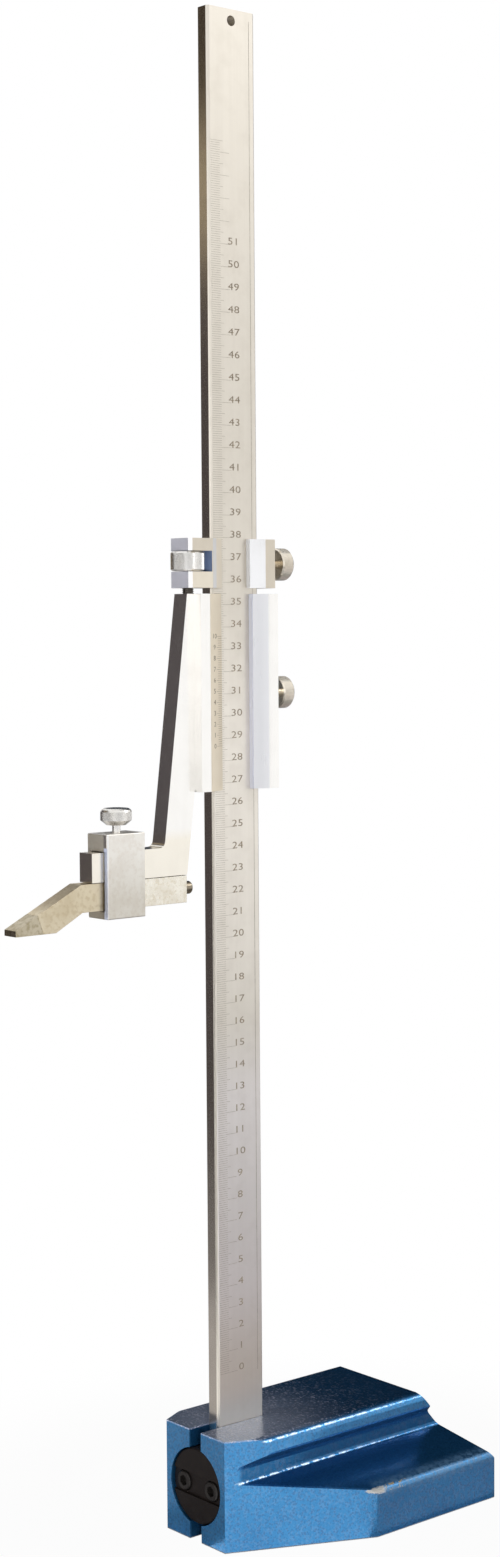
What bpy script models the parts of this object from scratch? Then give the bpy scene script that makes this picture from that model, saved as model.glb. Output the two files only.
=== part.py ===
"""Vernier height gauge with a painted iron base, for Blender 4.5.

Metres, +Z up. The origin is the middle of the ground underside of the base, on the surface plate.
-Y is the front, where the scriber points, and +X is the way the graduated face looks.

Each piece is its own object. Pieces that move hang under an empty, or have their origin, on the axis
that they slide or turn on.
"""

import math

import bmesh
import bpy
from mathutils import Matrix, Vector

# Clearances
GAP = 0.0003            # between two pieces that touch or run on each other
OVERRUN = 0.002         # how far a cutter passes the face that it cuts
MERGE = 0.00001         # welds the rows of a turned shape at its axis
CAP_MERGE = 0.000001    # welds the caps of a flat outline to its sides

# Base casting
BASE_LENGTH = 0.1426
BASE_HEIGHT = 0.051
BASE_WIDTH = 0.1032
NOSE_WIDTH = 0.0417
NOSE_REACH = 0.0106     # how far the nose stands in front of the beam
FLARE_LENGTH = 0.065    # from the nose to the full width
PLATEAU_LENGTH = 0.1135 # flat top, from the nose to where the rear slope begins
REAR_EDGE_HEIGHT = 0.0178
SHOULDER_WIDTH = 0.060
SHOULDER_RADIUS = 0.0045
SHOULDER_DEPTH = 0.0074 # from the top to the lower edge of the shoulder
LIP_RADIUS = 0.0016
GROOVE_DEPTH = 0.0069   # how far the finger groove goes in under the shoulder
GROOVE_DROP = 0.0052    # the height that its sloping roof takes
GROOVE_ROOF_RADIUS = 0.004
GROOVE_FLOOR_RADIUS = 0.0026
WING_INNER_HEIGHT = 0.031
WING_OUTER_HEIGHT = 0.0218
WING_RADIUS = 0.0034
PLATEAU_RADIUS = 0.0012 # where the flat top turns down into the rear slope
FOOT_CHAMFER = 0.0012
CORNER_RADIUS = 0.0022
NOSE_CORNER_RADIUS = 0.0008
RELIEF_DEPTH = 0.003
LAND_WIDTH = 0.011      # ground land left round the relieved pockets
CENTRE_LAND = 0.014
POCKET_RADIUS = 0.004
POCKET_CORNER_SHARE = 0.3 # most of a pocket's length that one corner may take

# Beam
BEAM_WIDTH = 0.0274
BEAM_THICKNESS = 0.0076
BEAM_TOP = 0.6885
BEAM_CHAMFER = 0.0011
BEAM_FOOT_CLEARANCE = 0.001
BEAM_HOLE_DIAMETER = 0.0045
BEAM_HOLE_INSET = 0.0051

# Clamp disc in the nose and its two screws
DISC_DIAMETER = 0.0346
DISC_HEIGHT = 0.0252    # its centre above the plate
DISC_BORE_CLEARANCE = 0.0005
DISC_RECESS = 0.0006
DISC_EDGE = 0.0006
DISC_SLOT_HEIGHT = 0.0104
DISC_SLOT_DEPTH = 0.0013
DISC_SCREW_SPACING = 0.0196
DISC_SCREW_HEAD_DIAMETER = 0.009
DISC_SCREW_HEAD_LENGTH = 0.0034
DISC_SCREW_DIAMETER = 0.005
DISC_SCREW_BITE = 0.012
DISC_SCREW_SOCKET = 0.0044
DISC_SCREW_SOCKET_DEPTH = 0.002
DISC_SCREW_EDGE = 0.0005
DISC_SCREW_SINK = 0.0002 # from the disc's front face down to the top of the head

# Where the slider stands: the height of the measuring face above the plate, as the scale reads it
READING = 0.2855
SLIDER_OVER_BASE = 0.0055 # slider above the base when the scriber touches the plate

# Slider block
SLIDER_HEIGHT = 0.088
SLIDER_DEPTH = 0.0184
SLIDER_FRONT = 0.0244   # from the middle of the beam to its -Y side
SLIDER_REAR = 0.0207    # from the middle of the beam to its +Y side
WINDOW_FRONT = 0.0088   # from the middle of the beam to the edge of the vernier
WINDOW_REAR = 0.0078
VERNIER_LAND = 0.0054   # plain strip of the body in front of the vernier plate
VERNIER_EDGE = 0.0005
REAR_LIP_EDGE = 0.0023
REAR_LAND = 0.0057
BODY_CHAMFER = 0.0006
GIB_THICKNESS = 0.0012
GIB_END_WALL = 0.003
GIB_SCREW_DIAMETER = 0.003
GIB_SCREW_SINK = 0.0004
GIB_SCREW_INSET = 0.018
GIB_SCREW_SLOT = 0.0006
GIB_SCREW_SLOT_DEPTH = 0.0009

# Measuring arm and jaw, one piece with the slider
ARM_THICKNESS = 0.0090
ARM_TOP_REACH = 0.0283
ARM_LOW_REACH = 0.0422
ARM_ROOT_REAR = 0.0249  # its rear edge where it leaves the slider
ARM_ROOT_OVERLAP = 0.004
JAW_REACH = 0.082
JAW_REAR = 0.0296
JAW_HEIGHT = 0.0128
JAW_FILLET = 0.003

# Scriber
SCRIBER_THICKNESS = 0.0084
SCRIBER_HEIGHT = 0.0121
SCRIBER_DROP = 0.0075   # underside of the bar above the measuring face
SCRIBER_REACH = 0.1219
SCRIBER_BEND_LOW = 0.0870
SCRIBER_BEND_HIGH = 0.0876
SCRIBER_FLAT = 0.0209   # length of the measuring face
SCRIBER_TIP_HEIGHT = 0.0026
CARBIDE_LENGTH = 0.0140
CARBIDE_LEAN = 0.003
PIN_DIAMETER = 0.0058
PIN_BITE = 0.009
PIN_UNDER_TOP = 0.0060  # its centre below the top of the bar
PIN_NOSE_CLEARANCE = 0.0006
PIN_EDGE = 0.0006

# Scriber clamp
CLAMP_CENTRE = 0.0654
CLAMP_LENGTH = 0.0208
CLAMP_WALL = 0.0022
CLAMP_TOP_WALL = 0.0076
CLAMP_BOTTOM_WALL = 0.0036
CLAMP_HEAD_DIAMETER = 0.0138
CLAMP_HEAD_LENGTH = 0.0074
CLAMP_HEAD_LIFT = 0.0034 # gap under the head
CLAMP_SCREW_DIAMETER = 0.0036
CLAMP_CONE_SHARE = 0.28 # height of the cone under the head
CLAMP_NECK_SHARE = 0.62 # width of the cone where it meets the neck

# Fine adjustment carriage
CARRIAGE_GAP = 0.0026   # the fine adjustment's room between carriage and slider
CARRIAGE_HEIGHT = 0.022
CARRIAGE_DEPTH = 0.0148
CARRIAGE_FRONT = 0.0289
CARRIAGE_REAR = 0.0207
CARRIAGE_CHAMFER = 0.0015
CARRIAGE_WINDOW_FRONT = 0.0084
CARRIAGE_WINDOW_REAR = 0.0066
CARRIAGE_LAND_FRONT = 0.0166
CARRIAGE_LIP_EDGE = 0.0021
CARRIAGE_GIB_WALL = 0.002
PRONG_HEIGHT = 0.0072   # the lower prong of the fork

# Nut and threaded rod of the fine adjustment
NUT_DIAMETER = 0.0153
NUT_HEIGHT = 0.0086
NUT_EDGE = 0.0007
ROD_DIAMETER = 0.0053
ROD_CENTRE = 0.0242
ROD_BITE = 0.014
ROD_UPPER_BITE = 0.003  # how far it reaches into the upper prong
ROD_EDGE = 0.0005

# Knurled lock screws of the slider and the carriage
LOCK_HEAD_DIAMETER = 0.0148
LOCK_HEAD_LENGTH = 0.0066
LOCK_HEAD_REACH = 0.0260 # from the middle of the beam to the near face of the head
LOCK_SCREW_DIAMETER = 0.004
LOCK_EDGE = 0.0007
SLIDER_LOCK_SHARE = 0.49 # its height on the slider

# Counts
ARC_STEPS = 5
TURN_STEPS = 32
DISC_STEPS = 38
SMALL_TURN_STEPS = 16
HEXAGON = 6

# Colours: base colour, roughness, metallic
FINISHES = {
    "blue_paint": ((0.035, 0.16, 0.42), 0.35, 0.0),
    "satin_steel": ((0.72, 0.70, 0.66), 0.35, 1.0),
    "bright_steel": ((0.80, 0.79, 0.77), 0.25, 1.0),
    "knurled_steel": ((0.62, 0.58, 0.50), 0.35, 1.0),
    "black_oxide": ((0.02, 0.018, 0.017), 0.5, 0.6),
    "spring_brass": ((0.72, 0.52, 0.22), 0.35, 1.0),
    "carbide": ((0.10, 0.10, 0.10), 0.4, 0.8),
}

# Places worked out from the sizes above
NOSE_FRONT = -BASE_LENGTH / 2
BEAM_Y = NOSE_FRONT + NOSE_REACH + BEAM_WIDTH / 2
SLIDER_BOTTOM = BASE_HEIGHT + SLIDER_OVER_BASE + READING
CARRIAGE_BOTTOM = SLIDER_BOTTOM + SLIDER_HEIGHT + CARRIAGE_GAP
NUT_BOTTOM = PRONG_HEIGHT + GAP
BEAM_HALF = BEAM_WIDTH / 2 + GAP        # half width of the channel that runs on the beam
FACE_HALF = BEAM_THICKNESS / 2 + GAP    # half depth of that channel
GIB_SEAT = BEAM_HALF + GIB_THICKNESS + GAP
SCRIBER_BOTTOM = READING + SCRIBER_DROP
JAW_BOTTOM = SCRIBER_BOTTOM + SCRIBER_HEIGHT + GAP
JAW_TOP = JAW_BOTTOM + JAW_HEIGHT
NOSE_FROM_BEAM = NOSE_REACH + BEAM_WIDTH / 2

# The planes that a flat outline can be drawn in: its two directions, then the way it is thickened
PLAN = Matrix.Identity(4)
SIDE = Matrix(((0, 0, 1, 0), (1, 0, 0, 0), (0, 1, 0, 0), (0, 0, 0, 1)))
FRONT = Matrix(((1, 0, 0, 0), (0, 0, -1, 0), (0, 1, 0, 0), (0, 0, 0, 1)))
THICKENS = {
    "PLAN": (PLAN, Vector((0, 0, 1))),
    "SIDE": (SIDE, Vector((1, 0, 0))),
    "FRONT": (FRONT, Vector((0, 1, 0))),
}

# How a turned shape, drawn about Z, is laid over
UPRIGHT = (0, 0, 0)
TO_FRONT = (math.pi / 2, 0, 0)      # its top looks along -Y
TO_REAR = (-math.pi / 2, 0, 0)      # its top looks along +Y
TO_SIDE = (0, math.pi / 2, 0)       # its top looks along +X


def clear_scene():
    """Remove what the startup scene holds."""
    for thing in list(bpy.data.objects):
        bpy.data.objects.remove(thing, do_unlink=True)


def new_collection(name):
    """A collection linked to the scene."""
    group = bpy.data.collections.new(name)
    bpy.context.scene.collection.children.link(group)
    return group


def finish_material(name):
    """A plain material of one of the finishes."""
    made = bpy.data.materials.get(name)
    if made:
        return made
    colour, roughness, metallic = FINISHES[name]
    made = bpy.data.materials.new(name)
    made.use_nodes = True
    shader = made.node_tree.nodes["Principled BSDF"]
    shader.inputs["Base Color"].default_value = (*colour, 1)
    shader.inputs["Roughness"].default_value = roughness
    shader.inputs["Metallic"].default_value = metallic
    made.diffuse_color = (*colour, 1)
    return made


def as_piece(name, mesh, finish, parent=None):
    """A named part made of the mesh."""
    piece = bpy.data.objects.new(name, mesh)
    parts.objects.link(piece)
    mesh.materials.append(finish_material(finish))
    mesh.shade_smooth()
    mesh.set_sharp_from_angle(angle=math.radians(30))
    piece.parent = parent
    return piece


def as_cutter(name, mesh, parent=None):
    """A helper that only cuts, joins or trims."""
    cutter = bpy.data.objects.new(name, mesh)
    cutters.objects.link(cutter)
    cutter.hide_render = True
    cutter.display_type = "WIRE"
    cutter.parent = parent
    return cutter


def axis_empty(name, place, parent=None):
    """An empty on the axis that a body slides along."""
    empty = bpy.data.objects.new(name, None)
    parts.objects.link(empty)
    empty.location = place
    empty.parent = parent
    return empty


def combine(piece, other, operation):
    """Cut the other shape out of the piece, join it on, or keep only what both hold."""
    step = piece.modifiers.new(operation.lower(), "BOOLEAN")
    step.operation = operation
    step.object = other
    step.solver = "EXACT"


def rounded(corners, steps=ARC_STEPS):
    """The outline through (a, b, radius) corners, each turned with an arc of its radius."""
    loop = []
    count = len(corners)
    for index, (a, b, radius) in enumerate(corners):
        if not radius:
            loop.append((a, b))
            continue
        corner = Vector((a, b))
        before = (Vector(corners[index - 1][:2]) - corner).normalized()
        after = (Vector(corners[(index + 1) % count][:2]) - corner).normalized()
        half = before.angle(after) / 2
        centre = corner + (before + after).normalized() * radius / math.sin(half)
        first = corner + before * radius / math.tan(half) - centre
        last = corner + after * radius / math.tan(half) - centre
        start = math.atan2(first.y, first.x)
        sweep = math.remainder(math.atan2(last.y, last.x) - start, math.tau)
        for step in range(steps + 1):
            angle = start + sweep * step / steps
            loop.append((centre.x + radius * math.cos(angle), centre.y + radius * math.sin(angle)))
    return loop


def slab(outline, plane, low, high):
    """The mesh of a flat outline, drawn in a plane and thickened from low to high across it."""
    turn, across = THICKENS[plane]
    curve = bpy.data.curves.new("outline", "CURVE")
    curve.dimensions = "2D"
    curve.fill_mode = "BOTH"
    curve.extrude = (high - low) / 2
    spline = curve.splines.new("POLY")
    spline.points.add(len(outline) - 1)
    for point, (a, b) in zip(spline.points, outline):
        point.co = (a, b, 0, 1)
    spline.use_cyclic_u = True
    drawn = bpy.data.objects.new("outline", curve)
    cutters.objects.link(drawn)
    mesh = bpy.data.meshes.new_from_object(drawn.evaluated_get(bpy.context.evaluated_depsgraph_get()))
    bpy.data.objects.remove(drawn)
    shape = bmesh.new()
    shape.from_mesh(mesh)
    bmesh.ops.remove_doubles(shape, verts=shape.verts, dist=CAP_MERGE)
    place = Matrix.Translation(across * (low + high) / 2)
    bmesh.ops.transform(shape, matrix=place @ turn, verts=shape.verts)
    bmesh.ops.recalc_face_normals(shape, faces=shape.faces)
    shape.to_mesh(mesh)
    shape.free()
    return mesh


def block(low, high):
    """The mesh of a box between two corners."""
    low, high = Vector(low), Vector(high)
    shape = bmesh.new()
    bmesh.ops.create_cube(shape, size=1)
    bmesh.ops.scale(shape, vec=high - low, verts=shape.verts)
    bmesh.ops.translate(shape, vec=(low + high) / 2, verts=shape.verts)
    mesh = bpy.data.meshes.new("block")
    shape.to_mesh(mesh)
    shape.free()
    return mesh


def round_bar(radius, low, high, sides=TURN_STEPS):
    """The mesh of a straight round bar about Z, from low to high."""
    shape = bmesh.new()
    bmesh.ops.create_cone(
        shape, cap_ends=True, segments=sides, radius1=radius, radius2=radius, depth=high - low,
        matrix=Matrix.Translation((0, 0, (low + high) / 2)))
    mesh = bpy.data.meshes.new("round_bar")
    shape.to_mesh(mesh)
    shape.free()
    return mesh


def turned(piece_name, profile, finish, parent=None, steps=TURN_STEPS, ring=False):
    """A part turned about Z from a profile of (radius, height) points that runs down its outer side."""
    mesh = bpy.data.meshes.new(piece_name)
    edges = [(index, index + 1) for index in range(len(profile) - 1)]
    if ring:
        edges.append((len(profile) - 1, 0))
    mesh.from_pydata([(radius, 0, height) for radius, height in profile], edges, [])
    piece = as_piece(piece_name, mesh, finish, parent)
    screw = piece.modifiers.new("turn", "SCREW")
    screw.steps = steps
    screw.render_steps = steps
    screw.use_merge_vertices = True
    screw.merge_threshold = MERGE
    screw.use_smooth_shade = False
    return piece


def drill(piece, name, radius, low, high, place, lay, sides=SMALL_TURN_STEPS):
    """A round hole in the piece, its cutter drawn from low to high along the laid-over axis."""
    cutter = as_cutter(name, round_bar(radius, low, high, sides), piece.parent)
    cutter.location = place
    cutter.rotation_euler = lay
    combine(piece, cutter, "DIFFERENCE")


def base_section():
    """Half of the base's cross-section in (X, Z), down the right-hand side."""
    shoulder = SHOULDER_WIDTH / 2
    lip = BASE_HEIGHT - SHOULDER_DEPTH
    root = shoulder - GROOVE_DEPTH
    side = BASE_WIDTH / 2
    return [
        (shoulder, BASE_HEIGHT, SHOULDER_RADIUS),
        (shoulder, lip, LIP_RADIUS),
        (root, lip - GROOVE_DROP, GROOVE_ROOF_RADIUS),
        (root, WING_INNER_HEIGHT, GROOVE_FLOOR_RADIUS),
        (side, WING_OUTER_HEIGHT, WING_RADIUS),
        (side, 0, 0),
    ]


def base_plan():
    """The base's outline from above, with the slot for the beam."""
    nose = NOSE_WIDTH / 2
    side = BASE_WIDTH / 2
    flare = NOSE_FRONT + FLARE_LENGTH
    rear = BASE_LENGTH / 2
    slot = FACE_HALF
    slot_end = BEAM_Y + BEAM_HALF
    return [
        (slot, NOSE_FRONT, 0),
        (nose, NOSE_FRONT, NOSE_CORNER_RADIUS),
        (side, flare, CORNER_RADIUS),
        (side, rear, CORNER_RADIUS),
        (-side, rear, CORNER_RADIUS),
        (-side, flare, CORNER_RADIUS),
        (-nose, NOSE_FRONT, NOSE_CORNER_RADIUS),
        (-slot, NOSE_FRONT, 0),
        (-slot, slot_end, 0),
        (slot, slot_end, 0),
    ]


def base_profile():
    """The base's outline from the side in (Y, Z), with the rear slope and a foot chamfer."""
    plateau = NOSE_FRONT + PLATEAU_LENGTH
    rear = BASE_LENGTH / 2
    front = NOSE_FRONT - OVERRUN
    return [
        (front, 0, 0),
        (rear - FOOT_CHAMFER, 0, 0),
        (rear, FOOT_CHAMFER, 0),
        (rear, REAR_EDGE_HEIGHT, CORNER_RADIUS),
        (plateau, BASE_HEIGHT, PLATEAU_RADIUS),
        (front, BASE_HEIGHT, 0),
    ]


def relief_pockets(base):
    """Cut the relieved pockets into the underside, one on each side of the centre land."""
    flare_slope = (BASE_WIDTH - NOSE_WIDTH) / 2 / FLARE_LENGTH
    rear_side = BASE_WIDTH / 2 - LAND_WIDTH
    near = CENTRE_LAND / 2
    rear_end = BASE_LENGTH / 2 - LAND_WIDTH
    front_end = BEAM_Y + BEAM_HALF + LAND_WIDTH
    front_half = NOSE_WIDTH / 2 + flare_slope * (front_end - NOSE_FRONT) - LAND_WIDTH
    near_half = min(NOSE_WIDTH / 2 + flare_slope * (-near - NOSE_FRONT), BASE_WIDTH / 2) - LAND_WIDTH
    rear_loop = [(-rear_side, near), (rear_side, near), (rear_side, rear_end), (-rear_side, rear_end)]
    front_loop = [(-front_half, front_end), (front_half, front_end), (near_half, -near), (-near_half, -near)]
    for name, loop in (("rear_relief", rear_loop), ("front_relief", front_loop)):
        radius = min(POCKET_RADIUS, (loop[2][1] - loop[1][1]) * POCKET_CORNER_SHARE)
        pocket = rounded([(a, b, radius) for a, b in loop])
        combine(base, as_cutter(name, slab(pocket, "PLAN", -OVERRUN, RELIEF_DEPTH)), "DIFFERENCE")


def make_base():
    """The painted iron foot."""
    right = base_section()
    left = [(-a, b, radius) for a, b, radius in reversed(right)]
    section = slab(rounded(right + left), "FRONT", NOSE_FRONT - OVERRUN, BASE_LENGTH / 2 + OVERRUN)
    base = as_piece("base", section, "blue_paint")
    plan = slab(rounded(base_plan()), "PLAN", -OVERRUN, BASE_HEIGHT + OVERRUN)
    combine(base, as_cutter("base_plan", plan), "INTERSECT")
    wide = BASE_WIDTH / 2 + OVERRUN
    combine(base, as_cutter("base_profile", slab(rounded(base_profile()), "SIDE", -wide, wide)), "INTERSECT")
    relief_pockets(base)
    bore = DISC_DIAMETER / 2 + DISC_BORE_CLEARANCE
    seat = NOSE_REACH + DISC_BORE_CLEARANCE
    centre = (0, NOSE_FRONT, DISC_HEIGHT)
    drill(base, "disc_bore", bore, -seat, OVERRUN, centre, TO_FRONT, DISC_STEPS)
    thread = DISC_SCREW_DIAMETER / 2 + GAP
    depth = seat + DISC_SCREW_BITE
    for side in (-1, 1):
        place = (side * DISC_SCREW_SPACING / 2, NOSE_FRONT, DISC_HEIGHT)
        drill(base, "disc_thread", thread, -depth, OVERRUN - seat, place, TO_FRONT)


def make_beam():
    """The flat column that carries the main scale."""
    half = BEAM_THICKNESS / 2
    edge = BEAM_WIDTH / 2
    corners = [(-half, -edge), (half, -edge), (half, edge), (-half, edge)]
    outline = []
    for a, b in corners:
        inward_a = a - math.copysign(BEAM_CHAMFER, a)
        inward_b = b - math.copysign(BEAM_CHAMFER, b)
        pair = [(a, inward_b), (inward_a, b)]
        outline += pair if a * b > 0 else pair[::-1]
    outline = [(a, b + BEAM_Y) for a, b in outline]
    beam = as_piece("beam", slab(outline, "PLAN", BEAM_FOOT_CLEARANCE, BEAM_TOP), "satin_steel")
    through = half + OVERRUN
    drill(beam, "beam_hole", BEAM_HOLE_DIAMETER / 2, -through, through,
          (0, BEAM_Y, BEAM_TOP - BEAM_HOLE_INSET), TO_SIDE)


def make_disc_clamp():
    """The round clamp in the nose and its two socket screws."""
    radius = DISC_DIAMETER / 2
    back = GAP - NOSE_REACH
    front = -DISC_RECESS
    profile = [(0, front), (radius - DISC_EDGE, front), (radius, front - DISC_EDGE),
               (radius, back), (0, back)]
    disc = turned("clamp_disc", profile, "black_oxide", steps=DISC_STEPS)
    disc.location = (0, NOSE_FRONT, DISC_HEIGHT)
    disc.rotation_euler = TO_FRONT
    floor = front - DISC_SLOT_DEPTH
    slot_low = (-radius - OVERRUN, NOSE_FRONT - front - OVERRUN, DISC_HEIGHT - DISC_SLOT_HEIGHT / 2)
    slot_high = (radius + OVERRUN, NOSE_FRONT - floor, DISC_HEIGHT + DISC_SLOT_HEIGHT / 2)
    combine(disc, as_cutter("disc_slot", block(slot_low, slot_high)), "DIFFERENCE")
    head = DISC_SCREW_HEAD_DIAMETER / 2
    shank = DISC_SCREW_DIAMETER / 2
    head_top = front - DISC_SCREW_SINK
    head_low = head_top - DISC_SCREW_HEAD_LENGTH
    tip = -NOSE_REACH - DISC_SCREW_BITE
    for side, name in ((-1, "left"), (1, "right")):
        place = (side * DISC_SCREW_SPACING / 2, NOSE_FRONT, DISC_HEIGHT)
        drill(disc, "disc_seat_" + name, head + GAP, head_low - GAP, OVERRUN, place, TO_FRONT)
        drill(disc, "disc_hole_" + name, shank + GAP, back - OVERRUN, head_low, place, TO_FRONT)
        outline = [(0, head_top), (head - DISC_SCREW_EDGE, head_top), (head, head_top - DISC_SCREW_EDGE),
                   (head, head_low), (shank, head_low), (shank, tip), (0, tip)]
        screw = turned("disc_screw_" + name, outline, "black_oxide", steps=SMALL_TURN_STEPS)
        screw.location = place
        screw.rotation_euler = TO_FRONT
        socket = DISC_SCREW_SOCKET / math.sqrt(3)
        drill(screw, "disc_socket_" + name, socket, head_top - DISC_SCREW_SOCKET_DEPTH, OVERRUN,
              place, TO_FRONT, HEXAGON)


def channel_outline(half, rear, window_rear, lip_edge, left_side):
    """The section of a block that wraps the beam, open at the graduated face.

    It runs from the rear lip round the back to the left side, whose own points come last.
    """
    right = [
        (FACE_HALF, BEAM_HALF),
        (FACE_HALF, window_rear),
        (FACE_HALF + lip_edge, window_rear),
        (half, rear - REAR_LAND),
        (half, rear),
        (-half + BODY_CHAMFER, rear),
        (-half, rear - BODY_CHAMFER),
    ]
    inside = [(-FACE_HALF, -BEAM_HALF), (-FACE_HALF, BEAM_HALF)]
    return right + left_side + inside


def gib_pocket(body, height, end_wall, name):
    """Cut the pocket that a gib lies in, behind the beam's rear edge."""
    half = FACE_HALF - GAP
    low = (-half, BEAM_HALF - OVERRUN, end_wall)
    high = (half, GIB_SEAT, height - end_wall)
    combine(body, as_cutter(name + "_pocket", block(low, high), body.parent), "DIFFERENCE")


def make_gib(name, height, end_wall, parent):
    """A strip that presses on the beam's rear edge."""
    half = FACE_HALF - 2 * GAP
    low = (-half, BEAM_HALF, end_wall + GAP)
    high = (half, BEAM_HALF + GIB_THICKNESS, height - end_wall - GAP)
    as_piece(name, block(low, high), "spring_brass", parent)


def arm_outline():
    """The side view of the measuring arm and jaw in (Y, Z), counted from the slider's underside."""
    jaw_top = JAW_TOP - SLIDER_BOTTOM
    jaw_bottom = JAW_BOTTOM - SLIDER_BOTTOM
    inside = ARM_ROOT_OVERLAP - SLIDER_FRONT
    return [
        (inside, SLIDER_HEIGHT, 0),
        (-ARM_TOP_REACH, SLIDER_HEIGHT, 0),
        (-ARM_LOW_REACH, jaw_top, JAW_FILLET),
        (-JAW_REACH, jaw_top, 0),
        (-JAW_REACH, jaw_bottom, 0),
        (-JAW_REAR, jaw_bottom, 0),
        (-ARM_ROOT_REAR, 0, 0),
        (-ARM_ROOT_REAR, BODY_CHAMFER, 0),
        (inside, BODY_CHAMFER, 0),
    ]


def vernier_seat():
    """Where the vernier plate begins and ends in Y, counted from the middle of the beam."""
    land = VERNIER_LAND - SLIDER_FRONT
    return land, -WINDOW_FRONT


def make_slider(slider_axis):
    """The slider block with its arm and jaw, the vernier plate, the gib and the two gib screws."""
    half = SLIDER_DEPTH / 2
    land, _ = vernier_seat()
    left_side = [
        (-half, -SLIDER_FRONT + BODY_CHAMFER),
        (-half + BODY_CHAMFER, -SLIDER_FRONT),
        (half, -SLIDER_FRONT),
        (half, land),
        (FACE_HALF - GAP, land),
        (FACE_HALF - GAP, -BEAM_HALF),
    ]
    outline = channel_outline(half, SLIDER_REAR, WINDOW_REAR, REAR_LIP_EDGE, left_side)
    body = as_piece("slider_body", slab(outline, "PLAN", 0, SLIDER_HEIGHT), "bright_steel", slider_axis)
    arm_half = ARM_THICKNESS / 2
    arm = as_cutter("arm", slab(rounded(arm_outline()), "SIDE", -arm_half, arm_half), slider_axis)
    combine(body, arm, "UNION")
    gib_pocket(body, SLIDER_HEIGHT, GIB_END_WALL, "slider_gib")
    drill(body, "rod_seat", ROD_DIAMETER / 2 + GAP, SLIDER_HEIGHT - ROD_BITE, SLIDER_HEIGHT + OVERRUN,
          (0, -ROD_CENTRE, 0), UPRIGHT)
    make_gib("slider_gib", SLIDER_HEIGHT, GIB_END_WALL, slider_axis)
    make_vernier_plate(slider_axis)
    for name, height in (("lower", GIB_SCREW_INSET), ("upper", SLIDER_HEIGHT - GIB_SCREW_INSET)):
        make_gib_screw(body, name, height, slider_axis)
    return body


def make_vernier_plate(slider_axis):
    """The bevelled plate with the vernier scale, bedded in the step of the slider."""
    half = SLIDER_DEPTH / 2
    land, window = vernier_seat()
    near = land + GAP
    outline = [(FACE_HALF, near), (half, near), (half, near + GAP), (FACE_HALF + VERNIER_EDGE, window),
               (FACE_HALF, window)]
    as_piece("vernier_plate", slab(outline, "PLAN", 0, SLIDER_HEIGHT), "bright_steel", slider_axis)


def make_gib_screw(body, name, height, slider_axis):
    """A small slotted screw that presses on the slider's gib."""
    radius = GIB_SCREW_DIAMETER / 2
    place = (0, 0, height)
    drill(body, "gib_hole_" + name, radius + GAP, BEAM_HALF + GIB_THICKNESS, SLIDER_REAR + OVERRUN,
          place, TO_REAR)
    top = SLIDER_REAR - GIB_SCREW_SINK
    low = BEAM_HALF + GIB_THICKNESS + GAP
    profile = [(0, top), (radius, top), (radius, low), (0, low)]
    screw = turned("slider_gib_screw_" + name, profile, "bright_steel", slider_axis, SMALL_TURN_STEPS)
    screw.location = place
    screw.rotation_euler = TO_REAR
    slot = GIB_SCREW_SLOT / 2
    wide = radius + OVERRUN
    low_corner = (-wide, top - GIB_SCREW_SLOT_DEPTH, height - slot)
    high_corner = (wide, top + OVERRUN, height + slot)
    combine(screw, as_cutter("gib_slot_" + name, block(low_corner, high_corner), slider_axis), "DIFFERENCE")


def make_carriage(carriage_axis):
    """The fine adjustment carriage with its fork, and its gib."""
    half = CARRIAGE_DEPTH / 2
    left_side = [
        (-half, CARRIAGE_CHAMFER - CARRIAGE_FRONT),
        (-half + CARRIAGE_CHAMFER, -CARRIAGE_FRONT),
        (half - CARRIAGE_CHAMFER, -CARRIAGE_FRONT),
        (half, CARRIAGE_CHAMFER - CARRIAGE_FRONT),
        (half, -CARRIAGE_LAND_FRONT),
        (FACE_HALF + VERNIER_EDGE, -CARRIAGE_WINDOW_FRONT),
        (FACE_HALF, -CARRIAGE_WINDOW_FRONT),
        (FACE_HALF, -BEAM_HALF),
    ]
    outline = channel_outline(half, CARRIAGE_REAR, CARRIAGE_WINDOW_REAR, CARRIAGE_LIP_EDGE, left_side)
    body = as_piece("carriage_body", slab(outline, "PLAN", 0, CARRIAGE_HEIGHT), "bright_steel", carriage_axis)
    wide = half + OVERRUN
    low = (-wide, -CARRIAGE_FRONT - OVERRUN, PRONG_HEIGHT)
    high = (wide, NUT_DIAMETER / 2 + GAP - ROD_CENTRE, NUT_BOTTOM + NUT_HEIGHT + GAP)
    combine(body, as_cutter("fork", block(low, high), carriage_axis), "DIFFERENCE")
    drill(body, "rod_bore", ROD_DIAMETER / 2 + GAP, -OVERRUN, CARRIAGE_HEIGHT + OVERRUN,
          (0, -ROD_CENTRE, 0), UPRIGHT)
    gib_pocket(body, CARRIAGE_HEIGHT, CARRIAGE_GIB_WALL, "carriage_gib")
    make_gib("carriage_gib", CARRIAGE_HEIGHT, CARRIAGE_GIB_WALL, carriage_axis)
    return body


def make_nut(carriage_axis):
    """The knurled nut in the fork."""
    outer = NUT_DIAMETER / 2
    bore = ROD_DIAMETER / 2 + GAP
    profile = [(bore, NUT_HEIGHT), (outer - NUT_EDGE, NUT_HEIGHT), (outer, NUT_HEIGHT - NUT_EDGE),
               (outer, NUT_EDGE), (outer - NUT_EDGE, 0), (bore, 0)]
    nut = turned("fine_adjust_nut", profile, "knurled_steel", carriage_axis, ring=True)
    nut.location = (0, -ROD_CENTRE, NUT_BOTTOM)


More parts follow.
